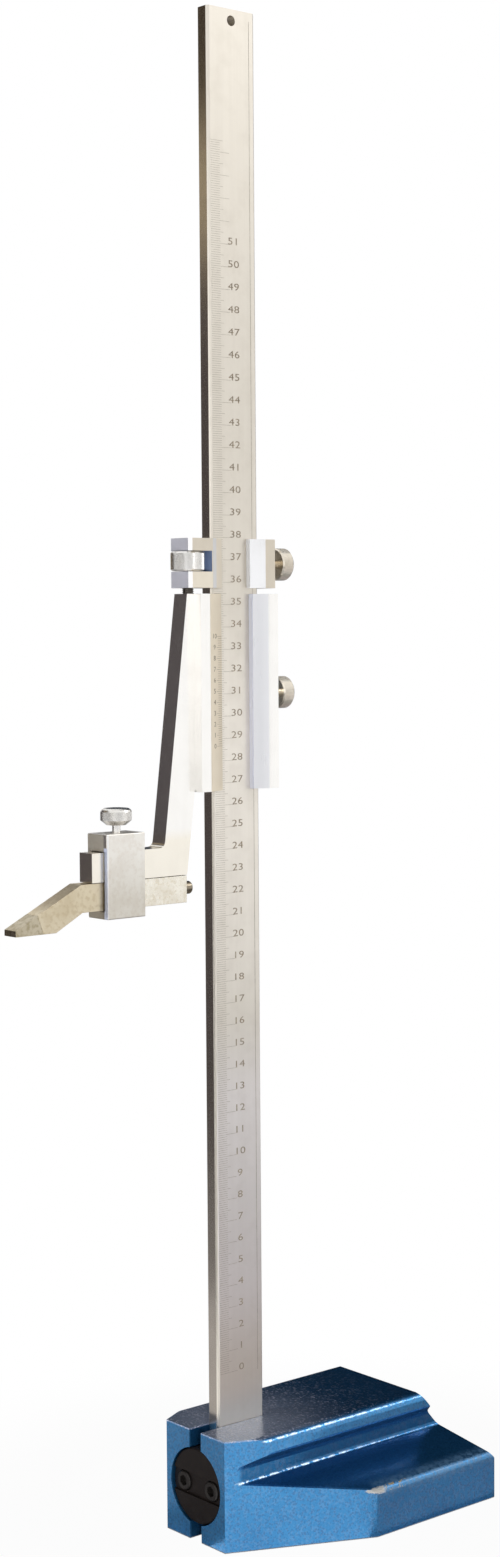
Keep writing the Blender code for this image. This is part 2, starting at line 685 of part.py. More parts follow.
def make_rod(slider_axis):
    """The threaded rod that stands in the top of the arm."""
    radius = ROD_DIAMETER / 2
    top = SLIDER_HEIGHT + CARRIAGE_GAP + NUT_BOTTOM + NUT_HEIGHT + ROD_UPPER_BITE
    low = SLIDER_HEIGHT - ROD_BITE + GAP
    profile = [(0, top), (radius - ROD_EDGE, top), (radius, top - ROD_EDGE), (radius, low), (0, low)]
    rod = turned("fine_adjust_rod", profile, "bright_steel", slider_axis, SMALL_TURN_STEPS)
    rod.location = (0, -ROD_CENTRE, 0)


def make_lock_screw(body, name, height, side_face, parent):
    """A knurled thumb screw whose axis runs along Y, and its hole in the body."""
    head = LOCK_HEAD_DIAMETER / 2
    shank = LOCK_SCREW_DIAMETER / 2
    near = LOCK_HEAD_REACH
    top = near + LOCK_HEAD_LENGTH
    tip = BEAM_HALF + GIB_THICKNESS + GAP
    profile = [(0, top), (head - LOCK_EDGE, top), (head, top - LOCK_EDGE), (head, near + LOCK_EDGE),
               (head - LOCK_EDGE, near), (shank, near), (shank, tip), (0, tip)]
    screw = turned(name, profile, "knurled_steel", parent)
    screw.location = (0, 0, height)
    screw.rotation_euler = TO_REAR
    drill(body, name + "_hole", shank + GAP, BEAM_HALF + GIB_THICKNESS, side_face + OVERRUN,
          (0, 0, height), TO_REAR)


def make_clamp(clamp_axis):
    """The frame round the jaw and the scriber, and its thumb screw."""
    inner = ARM_THICKNESS / 2 + GAP
    half = inner + CLAMP_WALL
    floor = -GAP
    roof = JAW_TOP - SCRIBER_BOTTOM + GAP
    low = floor - CLAMP_BOTTOM_WALL
    high = roof + CLAMP_TOP_WALL
    reach = CLAMP_LENGTH / 2
    outside = block((-half, -reach, low), (half, reach, high))
    frame = as_piece("clamp_frame", outside, "bright_steel", clamp_axis)
    window = block((-inner, -reach - OVERRUN, floor), (inner, reach + OVERRUN, roof))
    combine(frame, as_cutter("clamp_window", window, clamp_axis), "DIFFERENCE")
    shank = CLAMP_SCREW_DIAMETER / 2
    drill(frame, "clamp_hole", shank + GAP, roof - OVERRUN, high + OVERRUN, (0, 0, 0), UPRIGHT)
    head = CLAMP_HEAD_DIAMETER / 2
    under = high + CLAMP_HEAD_LIFT
    top = under + CLAMP_HEAD_LENGTH
    cone = CLAMP_HEAD_LENGTH * CLAMP_CONE_SHARE
    profile = [(0, top), (head - LOCK_EDGE, top), (head, top - LOCK_EDGE), (head, under + cone),
               (head * CLAMP_NECK_SHARE, under), (shank, under), (shank, roof), (0, roof)]
    turned("clamp_screw", profile, "knurled_steel", clamp_axis)


def make_scriber(scriber_axis):
    """The scriber bar, its carbide tip and the pin in its rear end.

    Heights count from the bar's underside.
    """
    half = SCRIBER_THICKNESS / 2
    face = -SCRIBER_DROP
    rear = -JAW_REAR
    tip = -SCRIBER_REACH
    heel = tip + SCRIBER_FLAT
    seat = tip + CARBIDE_LENGTH
    slope = (SCRIBER_HEIGHT + SCRIBER_DROP - SCRIBER_TIP_HEIGHT) / (SCRIBER_REACH - SCRIBER_BEND_HIGH)
    lean_top = seat - CARBIDE_LEAN
    crest = face + SCRIBER_TIP_HEIGHT + slope * (lean_top - tip)
    bar_outline = [
        (rear, SCRIBER_HEIGHT),
        (-SCRIBER_BEND_HIGH, SCRIBER_HEIGHT),
        (lean_top + GAP, crest + slope * GAP),
        (seat + GAP, face),
        (heel, face),
        (-SCRIBER_BEND_LOW, 0),
        (rear, 0),
    ]
    bar = as_piece("scriber_bar", slab(bar_outline, "SIDE", -half, half), "bright_steel", scriber_axis)
    tip_outline = [(lean_top, crest), (tip, face + SCRIBER_TIP_HEIGHT), (tip, face), (seat, face)]
    as_piece("carbide_tip", slab(tip_outline, "SIDE", -half, half), "carbide", scriber_axis)
    radius = PIN_DIAMETER / 2
    centre = (0, rear, SCRIBER_HEIGHT - PIN_UNDER_TOP)
    drill(bar, "pin_hole", radius + GAP, -PIN_BITE - GAP, OVERRUN, centre, TO_REAR)
    end = -NOSE_FROM_BEAM - PIN_NOSE_CLEARANCE - rear
    profile = [(0, end), (radius - PIN_EDGE, end), (radius, end - PIN_EDGE),
               (radius, -PIN_BITE), (0, -PIN_BITE)]
    pin = turned("scriber_pin", profile, "black_oxide", scriber_axis, SMALL_TURN_STEPS)
    pin.location = centre
    pin.rotation_euler = TO_REAR


def build():
    """Make every piece, from the plate up."""
    make_base()
    make_beam()
    make_disc_clamp()
    slider_axis = axis_empty("slider_axis", (0, BEAM_Y, SLIDER_BOTTOM))
    carriage_axis = axis_empty("carriage_axis", (0, BEAM_Y, CARRIAGE_BOTTOM))
    slider = make_slider(slider_axis)
    make_rod(slider_axis)
    make_lock_screw(slider, "slider_lock_screw", SLIDER_HEIGHT * SLIDER_LOCK_SHARE, SLIDER_REAR, slider_axis)
    carriage = make_carriage(carriage_axis)
    make_nut(carriage_axis)
    make_lock_screw(carriage, "carriage_lock_screw", CARRIAGE_HEIGHT / 2, CARRIAGE_REAR, carriage_axis)
    bar_lift = SCRIBER_BOTTOM - SLIDER_BOTTOM
    make_clamp(axis_empty("clamp_axis", (0, -CLAMP_CENTRE, bar_lift), slider_axis))
    make_scriber(axis_empty("scriber_axis", (0, 0, bar_lift), slider_axis))


clear_scene()
parts = new_collection("height_gauge")
cutters = new_collection("cutters")
build()
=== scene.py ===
"""Dress a vernier height gauge: its fine shapes, graduations and finishes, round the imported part.

Metres, +Z up, in the part's own frame. The origin is on the surface plate under the middle of the base,
-Y is the front, where the scriber points, and +X is the way the graduated face looks.
"""

import logging
import math
from collections.abc import Callable, Sequence
from dataclasses import dataclass, field
from enum import Enum

import bmesh
import bpy
from mathutils import Matrix, Vector


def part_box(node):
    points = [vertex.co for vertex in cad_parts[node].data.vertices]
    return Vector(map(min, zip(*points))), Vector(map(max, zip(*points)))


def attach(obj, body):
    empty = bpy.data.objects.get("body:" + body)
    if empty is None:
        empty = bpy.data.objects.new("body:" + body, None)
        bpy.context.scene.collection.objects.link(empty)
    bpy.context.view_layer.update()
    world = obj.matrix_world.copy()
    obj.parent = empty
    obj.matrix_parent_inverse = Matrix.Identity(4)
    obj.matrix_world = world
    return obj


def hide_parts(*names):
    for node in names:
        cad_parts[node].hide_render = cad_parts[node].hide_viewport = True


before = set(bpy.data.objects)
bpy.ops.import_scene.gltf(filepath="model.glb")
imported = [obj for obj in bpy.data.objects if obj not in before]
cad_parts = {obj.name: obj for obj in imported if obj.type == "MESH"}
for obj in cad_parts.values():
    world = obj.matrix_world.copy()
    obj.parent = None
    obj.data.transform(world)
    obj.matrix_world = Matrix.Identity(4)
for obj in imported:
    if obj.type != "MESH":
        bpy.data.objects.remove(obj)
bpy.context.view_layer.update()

log = logging.getLogger("height_gauge")

Colour = tuple[float, float, float]
Places = Sequence[Vector]

OVERRUN = 0.002         # how far a cutter passes the face that it cuts
MILLIMETRE = 0.001
WELD = 0.000001         # joins points that lie on each other
TOUCH = 0.00001         # two places that are nearer than this are one
CAD_GAP = 0.0003        # what the CAD model leaves between pieces that touch or slide on each other
INK_PROUD = 0.000012    # how far the filled graduations stand out of the face
DIGIT_SHARE = 0.695     # height of a digit in the font, as a share of its size
KNURL_EDGE = 0.0007     # the bevel at each end of a knurled band
DISC_SIDES = 96         # faces round the clamp disc and its seat
ROUND_SIDES = 48        # faces round smaller turned shapes and bores
SHANK_SIDES = 32
TAPPED_SIDES = 24
HEXAGON = 6
WHITE = (1.0, 1.0, 1.0, 1.0)
BLACK = (0.0, 0.0, 0.0, 1.0)
FLAT = math.radians(1)
KNURL_SHARP = math.radians(25)
CAST_SHARP = math.radians(28)
SHARP = math.radians(32)
PIN_SHARP = math.radians(50)

UPRIGHT = (0.0, 0.0, 0.0)
TO_FRONT = (math.pi / 2, 0.0, 0.0)      # what looked up looks along -Y
TO_REAR = (-math.pi / 2, 0.0, 0.0)      # what looked up looks along +Y
TO_FACE = (0.0, math.pi / 2, 0.0)       # what looked up looks along +X


class Body(Enum):
    """The bodies of the part, as its joints move them."""

    ROOT = "root"
    CARRIAGE = "carriage"
    CARRIAGE_LOCK = "carriage_lock"
    NUT = "nut"
    SLIDER = "slider"
    SLIDER_LOCK = "slider_lock"
    CLAMP = "scriber_clamp"
    CLAMP_SCREW = "clamp_thumb_screw"
    SCRIBER = "scriber"


class Slot(Enum):
    """The material slots of the record."""

    PAINT = "blue_paint"
    SATIN = "satin_steel"
    BRIGHT = "bright_steel"
    KNURLED = "knurled_steel"
    BLACK = "black_oxide"
    BRASS = "spring_brass"
    CARBIDE = "carbide"


class Pick(Enum):
    """What is selected in edit mode: the kind's name in a mesh, and its switch in the select mode."""

    VERTS = ("verts", (True, False, False))
    FACES = ("faces", (False, False, True))


class Ray(Enum):
    """Kinds of rays, each with its output of a Light Path node."""

    CAMERA = 0
    GLOSS = 3
    GLASS = 6


class Plane(Enum):
    """The plane that an outline is drawn in: its two directions, then the way it is thickened."""

    PLAN = ((1, 0, 0), (0, 1, 0), (0, 0, 1))
    SIDE = ((0, 1, 0), (0, 0, 1), (1, 0, 0))
    FRONT = ((1, 0, 0), (0, 0, 1), (0, 1, 0))

    def point(self, a: float, b: float, depth: float) -> Vector:
        """The place of a point of the outline, at a depth across the plane."""
        first, second, across = (Vector(way) for way in self.value)
        return first * a + second * b + across * depth


@dataclass(frozen=True)
class Corner:
    """A corner of an outline, with the radius that rounds it."""

    a: float
    b: float
    radius: float = 0.0

    @property
    def place(self) -> Vector:
        """The corner in its plane."""
        return Vector((self.a, self.b))


class Bench:
    """Blender's modelling operators, used on one piece at a time as by hand."""

    arc_segments = 10

    def clear(self) -> None:
        """Deselect everything."""
        bpy.ops.object.select_all(action="DESELECT")

    def take(self, piece: bpy.types.Object) -> None:
        """Make one piece the selected and active one.

        Args:
            piece: the piece.
        """
        self.clear()
        piece.select_set(True)
        bpy.context.view_layer.objects.active = piece

    def edit(self, piece: bpy.types.Object) -> None:
        """Go into edit mode on a piece."""
        self.take(piece)
        bpy.ops.object.mode_set(mode="EDIT")

    def leave(self, name: str) -> bpy.types.Object:
        """Leave edit mode and name the piece.

        Args:
            name: the piece's name.

        Returns:
            The piece, with its transform applied.
        """
        bpy.ops.object.mode_set(mode="OBJECT")
        piece = bpy.context.object
        piece.name = name
        piece.data.name = name
        self.settle(piece)
        return piece

    def settle(self, piece: bpy.types.Object) -> None:
        """Apply the piece's transform, so that its place is in its mesh."""
        self.take(piece)
        bpy.ops.object.transform_apply(location=True, rotation=True, scale=True)

    def select(self, kind: Pick, test: Callable[[object], bool]) -> None:
        """Select what passes a test, in edit mode.

        Args:
            kind: vertices or faces.
            test: says whether an element is selected, by its place or normal.
        """
        kinds, mode = kind.value
        bpy.context.tool_settings.mesh_select_mode = mode
        bpy.ops.mesh.select_all(action="DESELECT")
        mesh = bmesh.from_edit_mesh(bpy.context.object.data)
        for element in getattr(mesh, kinds):
            if test(element):
                element.select_set(True)
        mesh.select_flush_mode()
        bmesh.update_edit_mesh(bpy.context.object.data)

    def select_all(self) -> None:
        """Select the whole mesh, in edit mode."""
        bpy.context.tool_settings.mesh_select_mode = Pick.VERTS.value[1]
        bpy.ops.mesh.select_all(action="SELECT")

    def trace(self, places: Places) -> None:
        """Start a mesh and draw a line through some places, point by point.

        Args:
            places: the line's points.
        """
        self.clear()
        bpy.context.tool_settings.mesh_select_mode = Pick.VERTS.value[1]
        bpy.ops.mesh.primitive_plane_add(size=OVERRUN)
        bpy.ops.object.mode_set(mode="EDIT")
        bpy.ops.mesh.select_all(action="SELECT")
        bpy.ops.mesh.merge(type="CENTER")
        bpy.ops.transform.translate(value=places[0])
        for here, there in zip(places, places[1:]):
            bpy.ops.mesh.extrude_region_move(TRANSFORM_OT_translate={"value": there - here})

    def slab(self, name: str, corners: Sequence[Corner], plane: Plane, low: float, high: float,
             segments: int = arc_segments) -> bpy.types.Object:
        """A flat outline, its corners rounded, thickened across its plane.

        Args:
            name: the piece's name.
            corners: the outline's corners in order.
            plane: the plane that it is drawn in.
            low: where the thickness begins.
            high: where it ends.
            segments: how many faces turn each rounded corner.

        Returns:
            The closed piece.
        """
        places = [plane.point(corner.a, corner.b, low) for corner in corners]
        self.trace(places)
        bpy.ops.mesh.select_all(action="SELECT")
        bpy.ops.mesh.edge_face_add()
        for index, corner in enumerate(corners):
            if corner.radius:
                before = (corners[index - 1].place - corner.place).normalized()
                after = (corners[(index + 1) % len(corners)].place - corner.place).normalized()
                self.select(Pick.VERTS, lambda vert, at=places[index]: (vert.co - at).length < TOUCH)
                bpy.ops.mesh.bevel(offset=corner.radius / math.tan(before.angle(after) / 2),
                                   offset_type="OFFSET", segments=segments, affect="VERTICES")
        self.select_all()
        thickness = plane.point(0, 0, high - low)
        bpy.ops.mesh.extrude_region_move(TRANSFORM_OT_translate={"value": thickness})
        self.select_all()
        bpy.ops.mesh.normals_make_consistent(inside=False)
        return self.leave(name)

    def lathe(self, name: str, profile: Sequence[tuple[float, float]], steps: int) -> bpy.types.Object:
        """A shape turned about Z.

        Args:
            name: the piece's name.
            profile: its (radius, height) points, from one end of the axis to the other.
            steps: how many faces go round.

        Returns:
            The closed piece.
        """
        self.trace([Vector((radius, 0, height)) for radius, height in profile])
        bpy.ops.mesh.select_all(action="SELECT")
        bpy.ops.mesh.spin(steps=steps, angle=math.tau, center=(0, 0, 0), axis=(0, 0, 1))
        self.select_all()
        bpy.ops.mesh.remove_doubles(threshold=WELD)
        bpy.ops.mesh.normals_make_consistent(inside=False)
        self.select(Pick.FACES, lambda face: abs(face.normal.z) > 0.9999)
        bpy.ops.mesh.dissolve_limited(angle_limit=FLAT)
        return self.leave(name)

    def place(self, piece: bpy.types.Object, location: Vector, lay: tuple[float, float, float]) -> None:
        """Lay a piece over and move it to where it belongs.

        Args:
            piece: the piece, drawn about Z at the origin.
            location: where its origin goes.
            lay: how it is turned.
        """
        piece.location = location
        piece.rotation_euler = lay
        self.settle(piece)

    def apply(self, piece: bpy.types.Object, kind: str, **settings: object) -> None:
        """Add a modifier with some settings and apply it.

        Args:
            piece: the piece.
            kind: the modifier's type.
            settings: its settings.
        """
        self.take(piece)
        step = piece.modifiers.new(kind.lower(), kind)
        for key, value in settings.items():
            setattr(step, key, value)
        bpy.ops.object.modifier_apply(modifier=step.name)

    def combine(self, piece: bpy.types.Object, other: bpy.types.Object,
                operation: str = "DIFFERENCE") -> None:
        """Cut the other shape out of the piece, or keep only what both hold, and drop the other.

        Args:
            piece: the piece that stays.
            other: the cutter.
            operation: the Boolean's operation.
        """
        self.apply(piece, "BOOLEAN", object=other, operation=operation, solver="EXACT")
        bpy.data.objects.remove(other)

    def drill(self, piece: bpy.types.Object, radius: float, low: float, high: float, location: Vector,
              lay: tuple[float, float, float], sides: int) -> None:
        """Cut a straight hole.

        Args:
            piece: the piece to drill.
            radius: the hole's radius at its corners.
            low: where the hole begins along its axis.
            high: where it ends.
            location: the axis's origin.
            lay: how the axis is turned.
            sides: how many faces go round.
        """
        self.clear()
        bpy.ops.mesh.primitive_cylinder_add(vertices=sides, radius=radius, depth=high - low,
                                            location=(0, 0, (low + high) / 2))
        cutter = bpy.context.object
        self.settle(cutter)
        self.place(cutter, location, lay)
        self.combine(piece, cutter)

    def mill(self, piece: bpy.types.Object, low: Sequence[float], high: Sequence[float]) -> None:
        """Cut a box out of a piece.

        Args:
            piece: the piece to mill.
            low: the box's lowest corner.
            high: its highest corner.
        """
        corners = [Corner(low[0], low[1]), Corner(high[0], low[1]), Corner(high[0], high[1]),
                   Corner(low[0], high[1])]
        self.combine(piece, self.slab("mill", corners, Plane.PLAN, low[2], high[2]))

    def copy_of(self, node: str, name: str) -> bpy.types.Object:
        """A copy of a CAD node, its loose triangles merged into plain faces.

        Args:
            node: the node.
            name: the copy's name.

        Returns:
            The copy.
        """
        piece = bpy.data.objects.new(name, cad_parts[node].data.copy())
        bpy.context.scene.collection.objects.link(piece)
        piece.data.materials.clear()
        self.edit(piece)
        self.select_all()
        bpy.ops.mesh.remove_doubles(threshold=WELD)
        bpy.ops.mesh.dissolve_limited(angle_limit=FLAT)
        return self.leave(name)

    def soften(self, piece: bpy.types.Object, width: float, segments: int = 3,
               angle: float = SHARP) -> None:
        """Round the edges that are sharper than an angle.

        Args:
            piece: the piece.
            width: the width of the rounding.
            segments: how many faces turn it.
            angle: the least angle of an edge that is rounded.
        """
        self.apply(piece, "BEVEL", width=width, segments=segments, limit_method="ANGLE",
                   angle_limit=angle, miter_outer="MITER_ARC", use_clamp_overlap=True)

    def shade(self, piece: bpy.types.Object, angle: float = SHARP) -> None:
        """Shade the piece smooth, but flat across its flat faces.

        Args:
            piece: the piece.
            angle: edges sharper than this stay sharp.
        """
        self.take(piece)
        bpy.ops.object.shade_smooth_by_angle(angle=angle)
        self.apply(piece, "WEIGHTED_NORMAL", keep_sharp=True, weight=100)

    def join(self, name: str, pieces: Sequence[bpy.types.Object]) -> bpy.types.Object:
        """Join some pieces into one.

        Args:
            name: the name of the one piece.
            pieces: the pieces.

        Returns:
            The one piece.
        """
        self.take(pieces[0])
        for piece in pieces:
            piece.select_set(True)
        bpy.ops.object.join()
        pieces[0].name = name
        pieces[0].data.name = name
        return pieces[0]


bench = Bench()


def hand_over(piece: bpy.types.Object, body: Body, slot: Slot, material: bpy.types.Material,
              *nodes: str) -> None:
    """Dress a finished piece and set it on its body.

    Args:
        piece: the finished piece.
        body: the body that it moves with.
        slot: the record's slot that its finish belongs to; not used.
        material: its finish.
        nodes: the CAD nodes that it stands for.
    """
    piece.data.materials.clear()
    piece.data.materials.append(material)
    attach(piece, body.value)
    if nodes:
        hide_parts(*nodes)
    log.info("%s: %d faces on %s", piece.name, len(piece.data.polygons), body.value)


def dress_copy(node: str, name: str, body: Body, slot: Slot, material: bpy.types.Material, edge: float,
               segments: int = 2, reshape: Callable[[bpy.types.Object], None] | None = None) -> None:
    """Dress a copy of a CAD node, its sharp edges rounded.

    Args:
        node: the node, which the copy stands for.
        name: the copy's name.
        body: the body that it moves with.
        slot: the record's slot that its finish belongs to.
        material: its finish.
        edge: the width of its rounded edges.
        segments: how many faces turn an edge.
        reshape: changes the copy before its edges are rounded.
    """
    piece = bench.copy_of(node, name)
    if reshape:
        reshape(piece)
    bench.soften(piece, edge, segments)
    bench.shade(piece)
    hand_over(piece, body, slot, material, node)


class Wire:
    """The output of a node, with arithmetic that adds Math nodes."""

    def __init__(self, board: "Board", socket: bpy.types.NodeSocket) -> None:
        """Wrap an output of a node that is on a board."""
        self.board = board
        self.socket = socket

    def __add__(self, other: "Wire | float") -> "Wire":
        """The sum."""
        return self.board.maths("ADD", self, other)

    __radd__ = __add__

    def __sub__(self, other: "Wire | float") -> "Wire":
        """The difference."""
        return self.board.maths("SUBTRACT", self, other)

    def __rsub__(self, other: float) -> "Wire":
        """The difference from a number."""
        return self.board.maths("SUBTRACT", other, self)

    def __mul__(self, other: "Wire | float") -> "Wire":
        """The product."""
        return self.board.maths("MULTIPLY", self, other)

    __rmul__ = __mul__

    def __pow__(self, other: float) -> "Wire":
        """The power."""
        return self.board.maths("POWER", self, other)

    def distance(self, level: float) -> "Wire":
        """How far the value is from a level, without its sign."""
        return self.board.maths("ABSOLUTE", self - level)

    def rise(self, low: float, high: float) -> "Wire":
        """0 at the low value and 1 at the high one, smooth between; low may be the larger."""
        return self.board.add("MapRange", {"interpolation_type": "SMOOTHSTEP"},
                              {"Value": self, "From Min": low, "From Max": high})


class Board:
    """The nodes of one material, or of the world."""

    object_place = 3            # the Texture Coordinate output that gives the object's own coordinates
    colours_in = (6, 7)         # the Mix node's inputs for two colours
    colour_out = 2              # and its output for the mixed one

    def __init__(self, name: str, world: bpy.types.World | None = None) -> None:
        """Start a material, or take a world's nodes.

        Args:
            name: the material's name.
            world: the world, where the nodes are its own.
        """
        self.owner = world or bpy.data.materials.new(name)
        self.owner.use_nodes = True
        self.tree = self.owner.node_tree
        self.shader = self.tree.nodes.get("Principled BSDF")

    def add(self, kind: str, settings: dict[str, object] | None = None,
            sockets: dict[str | int, object] | None = None, output: int = 0) -> Wire:
        """Add a node.

        Args:
            kind: the node's type, without its ShaderNode prefix.
            settings: its settings, set first.
            sockets: the values or wires of its inputs, by name or number.
            output: the number of the output that is used.

        Returns:
            That output.
        """
        node = self.tree.nodes.new("ShaderNode" + kind)
        for key, value in (settings or {}).items():
            setattr(node, key, value)
        for key, value in (sockets or {}).items():
            self.feed(node.inputs[key], value)
        return Wire(self, node.outputs[output])

    def feed(self, socket: bpy.types.NodeSocket, value: object) -> None:
        """Link a wire to a socket, or set the socket's own value.

        Args:
            socket: an input of a node.
            value: the wire, or the value.
        """
        if isinstance(value, Wire):
            self.tree.links.new(value.socket, socket)
        else:
            socket.default_value = value

    def maths(self, operation: str, first: "Wire | float", second: "Wire | float" = 0.0) -> Wire:
        """A Math node on one or two values."""
        return self.add("Math", {"operation": operation}, {0: first, 1: second})

    def place(self, stretch: tuple[float, float, float] = (1.0, 1.0, 1.0)) -> Wire:
        """The place on the object in metres, with each axis multiplied by its stretch."""
        coordinates = self.add("TexCoord", output=self.object_place)
        return self.add("Mapping", None, {"Vector": coordinates, "Scale": stretch})

    def axis(self, index: int) -> Wire:
        """One coordinate of the place on the object: 0 for X, 1 for Y and 2 for Z."""
        return self.add("SeparateXYZ", None, {0: self.place()}, output=index)

    def ray(self, kind: Ray) -> Wire:
        """1 for rays of a kind and 0 for others."""
        return self.add("LightPath", output=kind.value)

    def noise(self, scale: float, detail: float = 2.0,
              stretch: tuple[float, float, float] = (1.0, 1.0, 1.0), roughness: float = 0.5) -> Wire:
        """Soft noise of a number of waves a metre, from 0 to 1."""
        return self.add("TexNoise", None, {"Vector": self.place(stretch), "Scale": scale, "Detail": detail,
                                           "Roughness": roughness})

    def mix(self, amount: "Wire | float", first: "Wire | Colour", second: "Wire | Colour",
            blend: str = "MIX") -> Wire:
        """Two colours, mixed by an amount.

        Args:
            amount: how much there is of the second colour.
            first: the first colour.
            second: the second one.
            blend: how the second is laid over the first.

        Returns:
            The mixed colour.
        """
        colours = [part if isinstance(part, Wire) else (*part, 1.0) for part in (first, second)]
        sockets = {0: amount, **dict(zip(self.colours_in, colours))}
        return self.add("Mix", {"data_type": "RGBA", "blend_type": blend}, sockets, self.colour_out)

    def bump(self, height: Wire, depth: float, strength: float) -> Wire:
        """The normal of a relief from 0 to 1, by its depth in metres and how much of it shows."""
        return self.add("Bump", None, {"Height": height, "Distance": depth, "Strength": strength})

    def surface(self, **sockets: object) -> bpy.types.Material:
        """Set the shader's sockets, named with underscores for spaces.

        Args:
            sockets: the values or wires, by socket.

        Returns:
            The material.
        """
        for key, value in sockets.items():
            self.feed(self.shader.inputs[key.replace("_", " ")], value)
        return self.owner


@dataclass(frozen=True)
class HammerEnamel:
    """Blue hammertone enamel with metal flake on cast iron, chipped at two corners, ground underneath, with
    painted light: painted shade on its level faces, painted highlights on its crests, edges and corners,
    and a painted reflection round the beam's foot.
    """

    low: Vector                 # the casting's lowest corner
    high: Vector                # its highest corner
    flare: float                # where its sides become parallel, along Y
    chipped: tuple[tuple[float, float, float], ...]     # the corners where the paint has come off, their pale middles also a painted highlight
    name: str = "blue_hammer_enamel"
    colour: Colour = (0.070, 0.31, 0.64)
    pooled: Colour = (0.010, 0.09, 0.27)    # paint that has run into the dimples
    deep: Colour = (0.001, 0.075, 0.21)     # painted shade on the level faces and in the grooves
    # painted reflection: the pale tone of the top round the beam's foot
    dusty: Colour = (0.74, 0.79, 1.0)
    # worn paint on the wings' rounded edges, lightened as a painted soft highlight
    rubbed: Colour = (0.16, 0.31, 0.50)
    # painted highlight along the shoulder and the groove's fillet
    thin: Colour = (0.62, 0.74, 0.86)
    iron: Colour = (0.78, 0.77, 0.74)
    filler: Colour = (0.60, 0.46, 0.24)
    pool_share: float = 0.5     # how strongly these layers show
    cloud_share: float = 0.2
    deep_share: float = 0.72
    thin_share: float = 0.62
    flake: float = 0.76         # how far the flake makes it look like metal
    gloss: float = 0.9
    gloss_roughness: float = 0.15
    dimples: float = 900.0      # a metre
    dimple_depth: float = 0.00016
    clouds: float = 45.0        # a metre
    dashes: float = 260.0       # waves a metre, of what breaks up the painted highlights and the chipped paint
    bits: float = 420.0
    beam_foot: float = -0.046   # where the beam stands on it, along Y
    shoulder: float = 0.030     # the upright side above the groove, along X
    shoulder_foot: float = 0.035
    shoulder_fade: float = 0.003
    flare_slope: float = 0.473  # how the flare runs out, in X along Y
    foot: tuple[float, float] = (0.0006, 0.0001)        # ground bare: from where, and fully where
    rim_fade: tuple[float, float] = (0.0006, 0.002)     # how the painted shade begins inside the flare
    upright_fade: tuple[float, float] = (0.0016, 0.0004)    # and ends before the shoulder's side
    side_fade: tuple[float, float] = (0.0004, 0.0012)   # and begins inside the wing's side
    nose_fade: tuple[float, float] = (0.0002, 0.0012)   # and behind the nose
    thick_gloss: float = 0.35   # how much of the gloss the painted shade takes away
    top_fade: tuple[float, float] = (0.0009, 0.0002)    # where the painted reflection begins below the flat top
    haze_share: float = 0.6
    speck_share: float = 0.9
    haze_reach: tuple[float, float] = (0.060, 0.012)    # from the beam's foot: its end, where it is full
    speck_reach: tuple[float, float] = (0.105, 0.03)
    handled: tuple[float, float] = (0.0430, 0.0160)     # hands rub the wing, and a soft highlight is painted, beyond these X and Z
    handled_fade: tuple[float, float] = (0.0055, 0.0045)
    handled_top: tuple[float, float] = (0.030, 0.027)   # up to this Z
    handled_from: tuple[float, float] = (-0.002, 0.003) # and behind the flare's end
    crests: tuple[tuple[float, float], ...] = ((0.0290, 0.0494), (0.0237, 0.0312))   # painted highlight lines, X and Z
    crest_fade: tuple[float, float] = (0.0012, 0.0005)  # to either side of a painted highlight line
    crest_reach: tuple[float, float] = (0.060, -0.050)  # the dashes fade from the front to the rear
    chip_length: float = 0.020
    chip_width: float = 0.0034
    chip_depth_share: float = 1.6   # how much sooner a chip ends up and down than across
    chip_body: tuple[float, float] = (0.30, 0.2)    # its whole middle, pale and also a painted highlight, in shares of its length
    chip_bits: tuple[float, float] = (0.28, 0.34)   # and where the scattered bits begin
    chip_end: float = 0.9       # and begin to end
    chip_fade: float = 0.7      # the same across, as a share of its width
    ragged: tuple[float, float] = (0.0022, 0.004)   # how far its border strays, by fine and broad noise

    def lies_thick(self, out: Wire, along: Wire, height: Wire) -> Wire:
        """1 where shade is painted: on all but the flare, the sides, the shoulders and the nose.

        Args:
            out: the distance from the middle plane.
            along: the place along Y.
            height: the height.

        Returns:
            The mask.
        """
        rim = self.high.x - self.flare * self.flare_slope
        inside = (out - along * self.flare_slope).rise(*(rim - fade for fade in self.rim_fade))
        upright = out.rise(*(self.shoulder - fade for fade in self.upright_fade))
        upright = upright * height.rise(self.shoulder_foot, self.shoulder_foot + self.shoulder_fade)
        within = inside * (1 - upright) * out.rise(*(self.high.x - fade for fade in self.side_fade))
        return within * along.rise(*(self.low.y + fade for fade in self.nose_fade))

    def dust(self, board: Board, along: Wire, height: Wire) -> Wire:
        """The painted reflection on the top: a pale tone and glinting specks, strongest round the beam's
        foot.

        Args:
            board: the material's nodes.
            along: the place along Y.
            height: the height.

        Returns:
            How much of it there is.
        """
        from_foot = board.maths("SQRT", board.axis(0) ** 2.0 + along.distance(self.beam_foot) ** 2.0)
        # the specks are painted glints
        specks = board.noise(self.dimples * 1.1, 2.0).rise(0.56, 0.64)
        reflection = from_foot.rise(*self.haze_reach) * self.haze_share
        reflection = reflection + from_foot.rise(*self.speck_reach) * specks * self.speck_share
        return height.rise(*(self.high.z - fade for fade in self.top_fade)) * reflection

    def handling(self, out: Wire, along: Wire, height: Wire, drift: Wire) -> Wire:
        """How far the wings' rounded edges are rubbed rougher and painted lighter as a soft highlight.

        Args:
            out: the distance from the middle plane.
            along: the place along Y.
            height: the height.
            drift: the noise that breaks it up.

        Returns:
            The mask.
        """
        side, rise = self.handled
        side_fade, rise_fade = self.handled_fade
        rubbed = out.rise(side, side + side_fade) * height.rise(rise, rise + rise_fade)
        rubbed = rubbed * height.rise(*self.handled_top) * (drift.rise(0.35, 0.60) * 0.5 + 0.2)
        return rubbed * along.rise(*(self.flare + fade for fade in self.handled_from))

